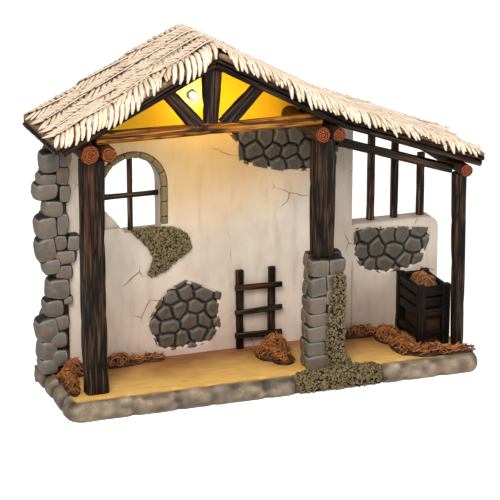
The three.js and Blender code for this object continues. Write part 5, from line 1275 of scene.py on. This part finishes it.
def crumbs(node, count, size, seed, lean):
    """Crumbs at random places of the node's triangles, which are moved left by lean above the floor."""
    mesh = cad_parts[node].data
    mesh.calc_loop_triangles()
    corners = np.zeros(len(mesh.vertices) * 3, np.float32)
    mesh.vertices.foreach_get("co", corners)
    index = np.zeros(len(mesh.loop_triangles) * 3, np.int32)
    mesh.loop_triangles.foreach_get("vertices", index)
    corners = corners.reshape(-1, 3) / MM
    corners[:, 0] -= lean * np.clip((corners[:, 2] - 22) / 14, 0, 1)
    triangles = corners[index.reshape(-1, 3)]
    a, b, c = triangles[:, 0], triangles[:, 1], triangles[:, 2]
    normal = np.cross(b - a, c - a)
    area = np.linalg.norm(normal, axis=1)
    normal = normal / np.maximum(area, 1e-9)[:, None]
    shown = area * ((normal[:, 1] < 0.5) & (normal[:, 2] > -0.8))
    rng = np.random.default_rng(seed)
    pick = rng.choice(len(area), count, p=shown / shown.sum())
    u, v = rng.random((2, count, 1))
    over = u + v > 1
    u, v = np.where(over, 1 - u, u), np.where(over, 1 - v, v)
    place = a[pick] + (b - a)[pick] * u + (c - a)[pick] * v
    stretch = size * (0.5 + rng.random((count, 3)) * 0.9)
    turns = rng.random((count, 1)) * 6.28
    shape = CRUMB[None] * (1 + 0.5 * (rng.random((count, len(CRUMB), 1)) - 0.5)) * stretch[:, None] / 2
    x = shape[..., 0] * np.cos(turns) - shape[..., 2] * np.sin(turns)
    z = shape[..., 0] * np.sin(turns) + shape[..., 2] * np.cos(turns)
    lift_out = normal[pick][:, None] * (rng.random((count, 1, 1)) * 0.9 - 0.2)
    points = place[:, None] + np.stack([x, shape[..., 1], z], -1) + lift_out
    points[..., 1] = np.minimum(points[..., 1], WALL_FRONT + 1)
    points[..., 2] = np.maximum(points[..., 2], 0.2)
    # Painted light and shade: each crumb is paler on the side that faces the key lamp, up at the front left, and takes
    # the dark wash on the side turned away from it.
    relief = (CRUMB @ np.array([-0.35, -0.6, 0.7])) * 0.5 + 0.5
    faces = (CRUMB_FACES[None] + (np.arange(count) * len(CRUMB))[:, None, None]).reshape(-1, 4)
    heap = Heap()
    heap.add(corners, index.reshape(-1, 3), relief=0.0, tone=0.0)
    heap.add(points, faces, relief=np.tile(relief, count), tone=np.repeat(rng.random(count), len(CRUMB)))
    heap.make(node + "_crumbs", MOSS, "moss", [node])


crumbs("window_moss", count=1300, size=2.2, seed=1, lean=0)
crumbs("pier_ivy", count=3000, size=2.3, seed=2, lean=7.5)

# %% [markdown]
# ## Lamp, lead and battery box
# The lamp hangs behind the king post. Its lead runs down a channel in the back of the wall to the
# battery box. These keep their CAD shape with a moulded edge radius.

# %% Electrical parts
ELECTRICS = {  # node: material, slot, bevel in mm, body
    "led_holder": (ABS_BLACK, "black_plastic", 0.3, "stable"),
    "led_bulb": (LENS, "lamp_lens", 0.15, "stable"),
    "led_lead": (PVC, "lead_jacket", 0.05, "stable"),
    "battery_box": (ABS_BLACK, "black_plastic", 0.5, "stable"),
    "battery_door": (ABS_GREY, "black_plastic", 0.4, "door"),
    "switch_slider": (ABS_GREY, "switch_plastic", 0.2, "switch"),
    "cell_1": (JACKET, "cell_jacket", 0.3, "stable"),
    "cell_2": (JACKET, "cell_jacket", 0.3, "stable"),
    "contact_bridge": (NICKEL, "contact_metal", 0.08, "stable"),
    "contact_plus": (NICKEL, "contact_metal", 0.08, "stable"),
    "contact_minus": (NICKEL, "contact_metal", 0.08, "stable"),
}
for node, look in ELECTRICS.items():
    softened(node, *look)
print("electrical parts done")

# %% [markdown]
# ## Light
# The lens glows, and a small warm lamp just in front of it throws the light on the gable wall, as the
# real one does; a yellow glow is painted on the plaster there as well. A second soft lamp behind the
# truss stands for the light that goes to and fro under the roof. A large lamp stands high at the front
# left, and a weaker one fills from the right. The paper floor adds a little light of its own to what the
# camera sees, so that it comes out white.

# %% Lamps, world and floor
def lamp(name, kind, place, energy, colour, size, aim=None):
    """A lamp turned to its aim: by acos(-z) from straight down, and then by the way's own azimuth."""
    data = bpy.data.lights.new(name, kind)
    data.energy = energy
    data.color = colour
    setattr(data, "size" if kind == "AREA" else "shadow_soft_size", size)
    made = bpy.data.objects.new(name, data)
    bpy.context.scene.collection.objects.link(made)
    made.location = place
    if aim is not None:
        way = np.array(aim) - np.array(place)
        made.rotation_euler = (math.acos(-way[2] / np.linalg.norm(way)), 0, math.atan2(way[1], way[0]) - math.pi / 2)


# Places and sizes in metres, energy in watts.
lamp("gable_glow", "POINT", (-0.0585, 0.021, 0.285), 0.08, (1.0, 0.7, 0.2), 0.004)
lamp("gable_scatter", "AREA", (-0.014, -0.018, 0.281), 0.04, (1.0, 0.72, 0.16), 0.024, (-0.006, 0.04, 0.28))
lamp("key", "AREA", (-0.9, -1.5, 1.5), 46, (1.0, 0.98, 0.95), 0.9, (0, 0, 0.12))
lamp("fill", "AREA", (1.4, -1.3, 0.8), 16, (0.95, 0.98, 1.0), 1.2, (0, 0, 0.12))

world = bpy.data.worlds.new("white_room")
bpy.context.scene.world = world
world.use_nodes = True
background = world.node_tree.nodes["Background"]
path = add_node(world, "ShaderNodeLightPath", out=0)
strength = add_node(world, RANGE, {0: path, 1: 0, 2: 1, 3: 0.34, 4: 1.0})
world.node_tree.links.new(strength, background.inputs["Strength"])
background.inputs["Color"].default_value = (1, 1, 1, 1)

floor_mesh = bpy.data.meshes.new("studio_floor")
floor_mesh.from_pydata([(-3, -3, -0.0002), (3, -3, -0.0002), (3, 3, -0.0002), (-3, 3, -0.0002)], [], [(0, 1, 2, 3)])
paper, paper_shader = finish("white_paper", 0.9)
paper_shader.inputs["Base Color"].default_value = (0.9, 0.9, 0.9, 1)
paper_shader.inputs["Emission Color"].default_value = (1, 1, 1, 1)
camera_ray = add_node(paper, "ShaderNodeLightPath", out=0)
paper_glow = add_node(paper, MATH, {0: camera_ray, 1: 0.62}, operation="MULTIPLY")
paper.node_tree.links.new(paper_glow, paper_shader.inputs["Emission Strength"])
floor_mesh.materials.append(paper)
studio_floor = bpy.data.objects.new("studio_floor", floor_mesh)
bpy.context.scene.collection.objects.link(studio_floor)
print("lights:", [light.name for light in bpy.data.lights])
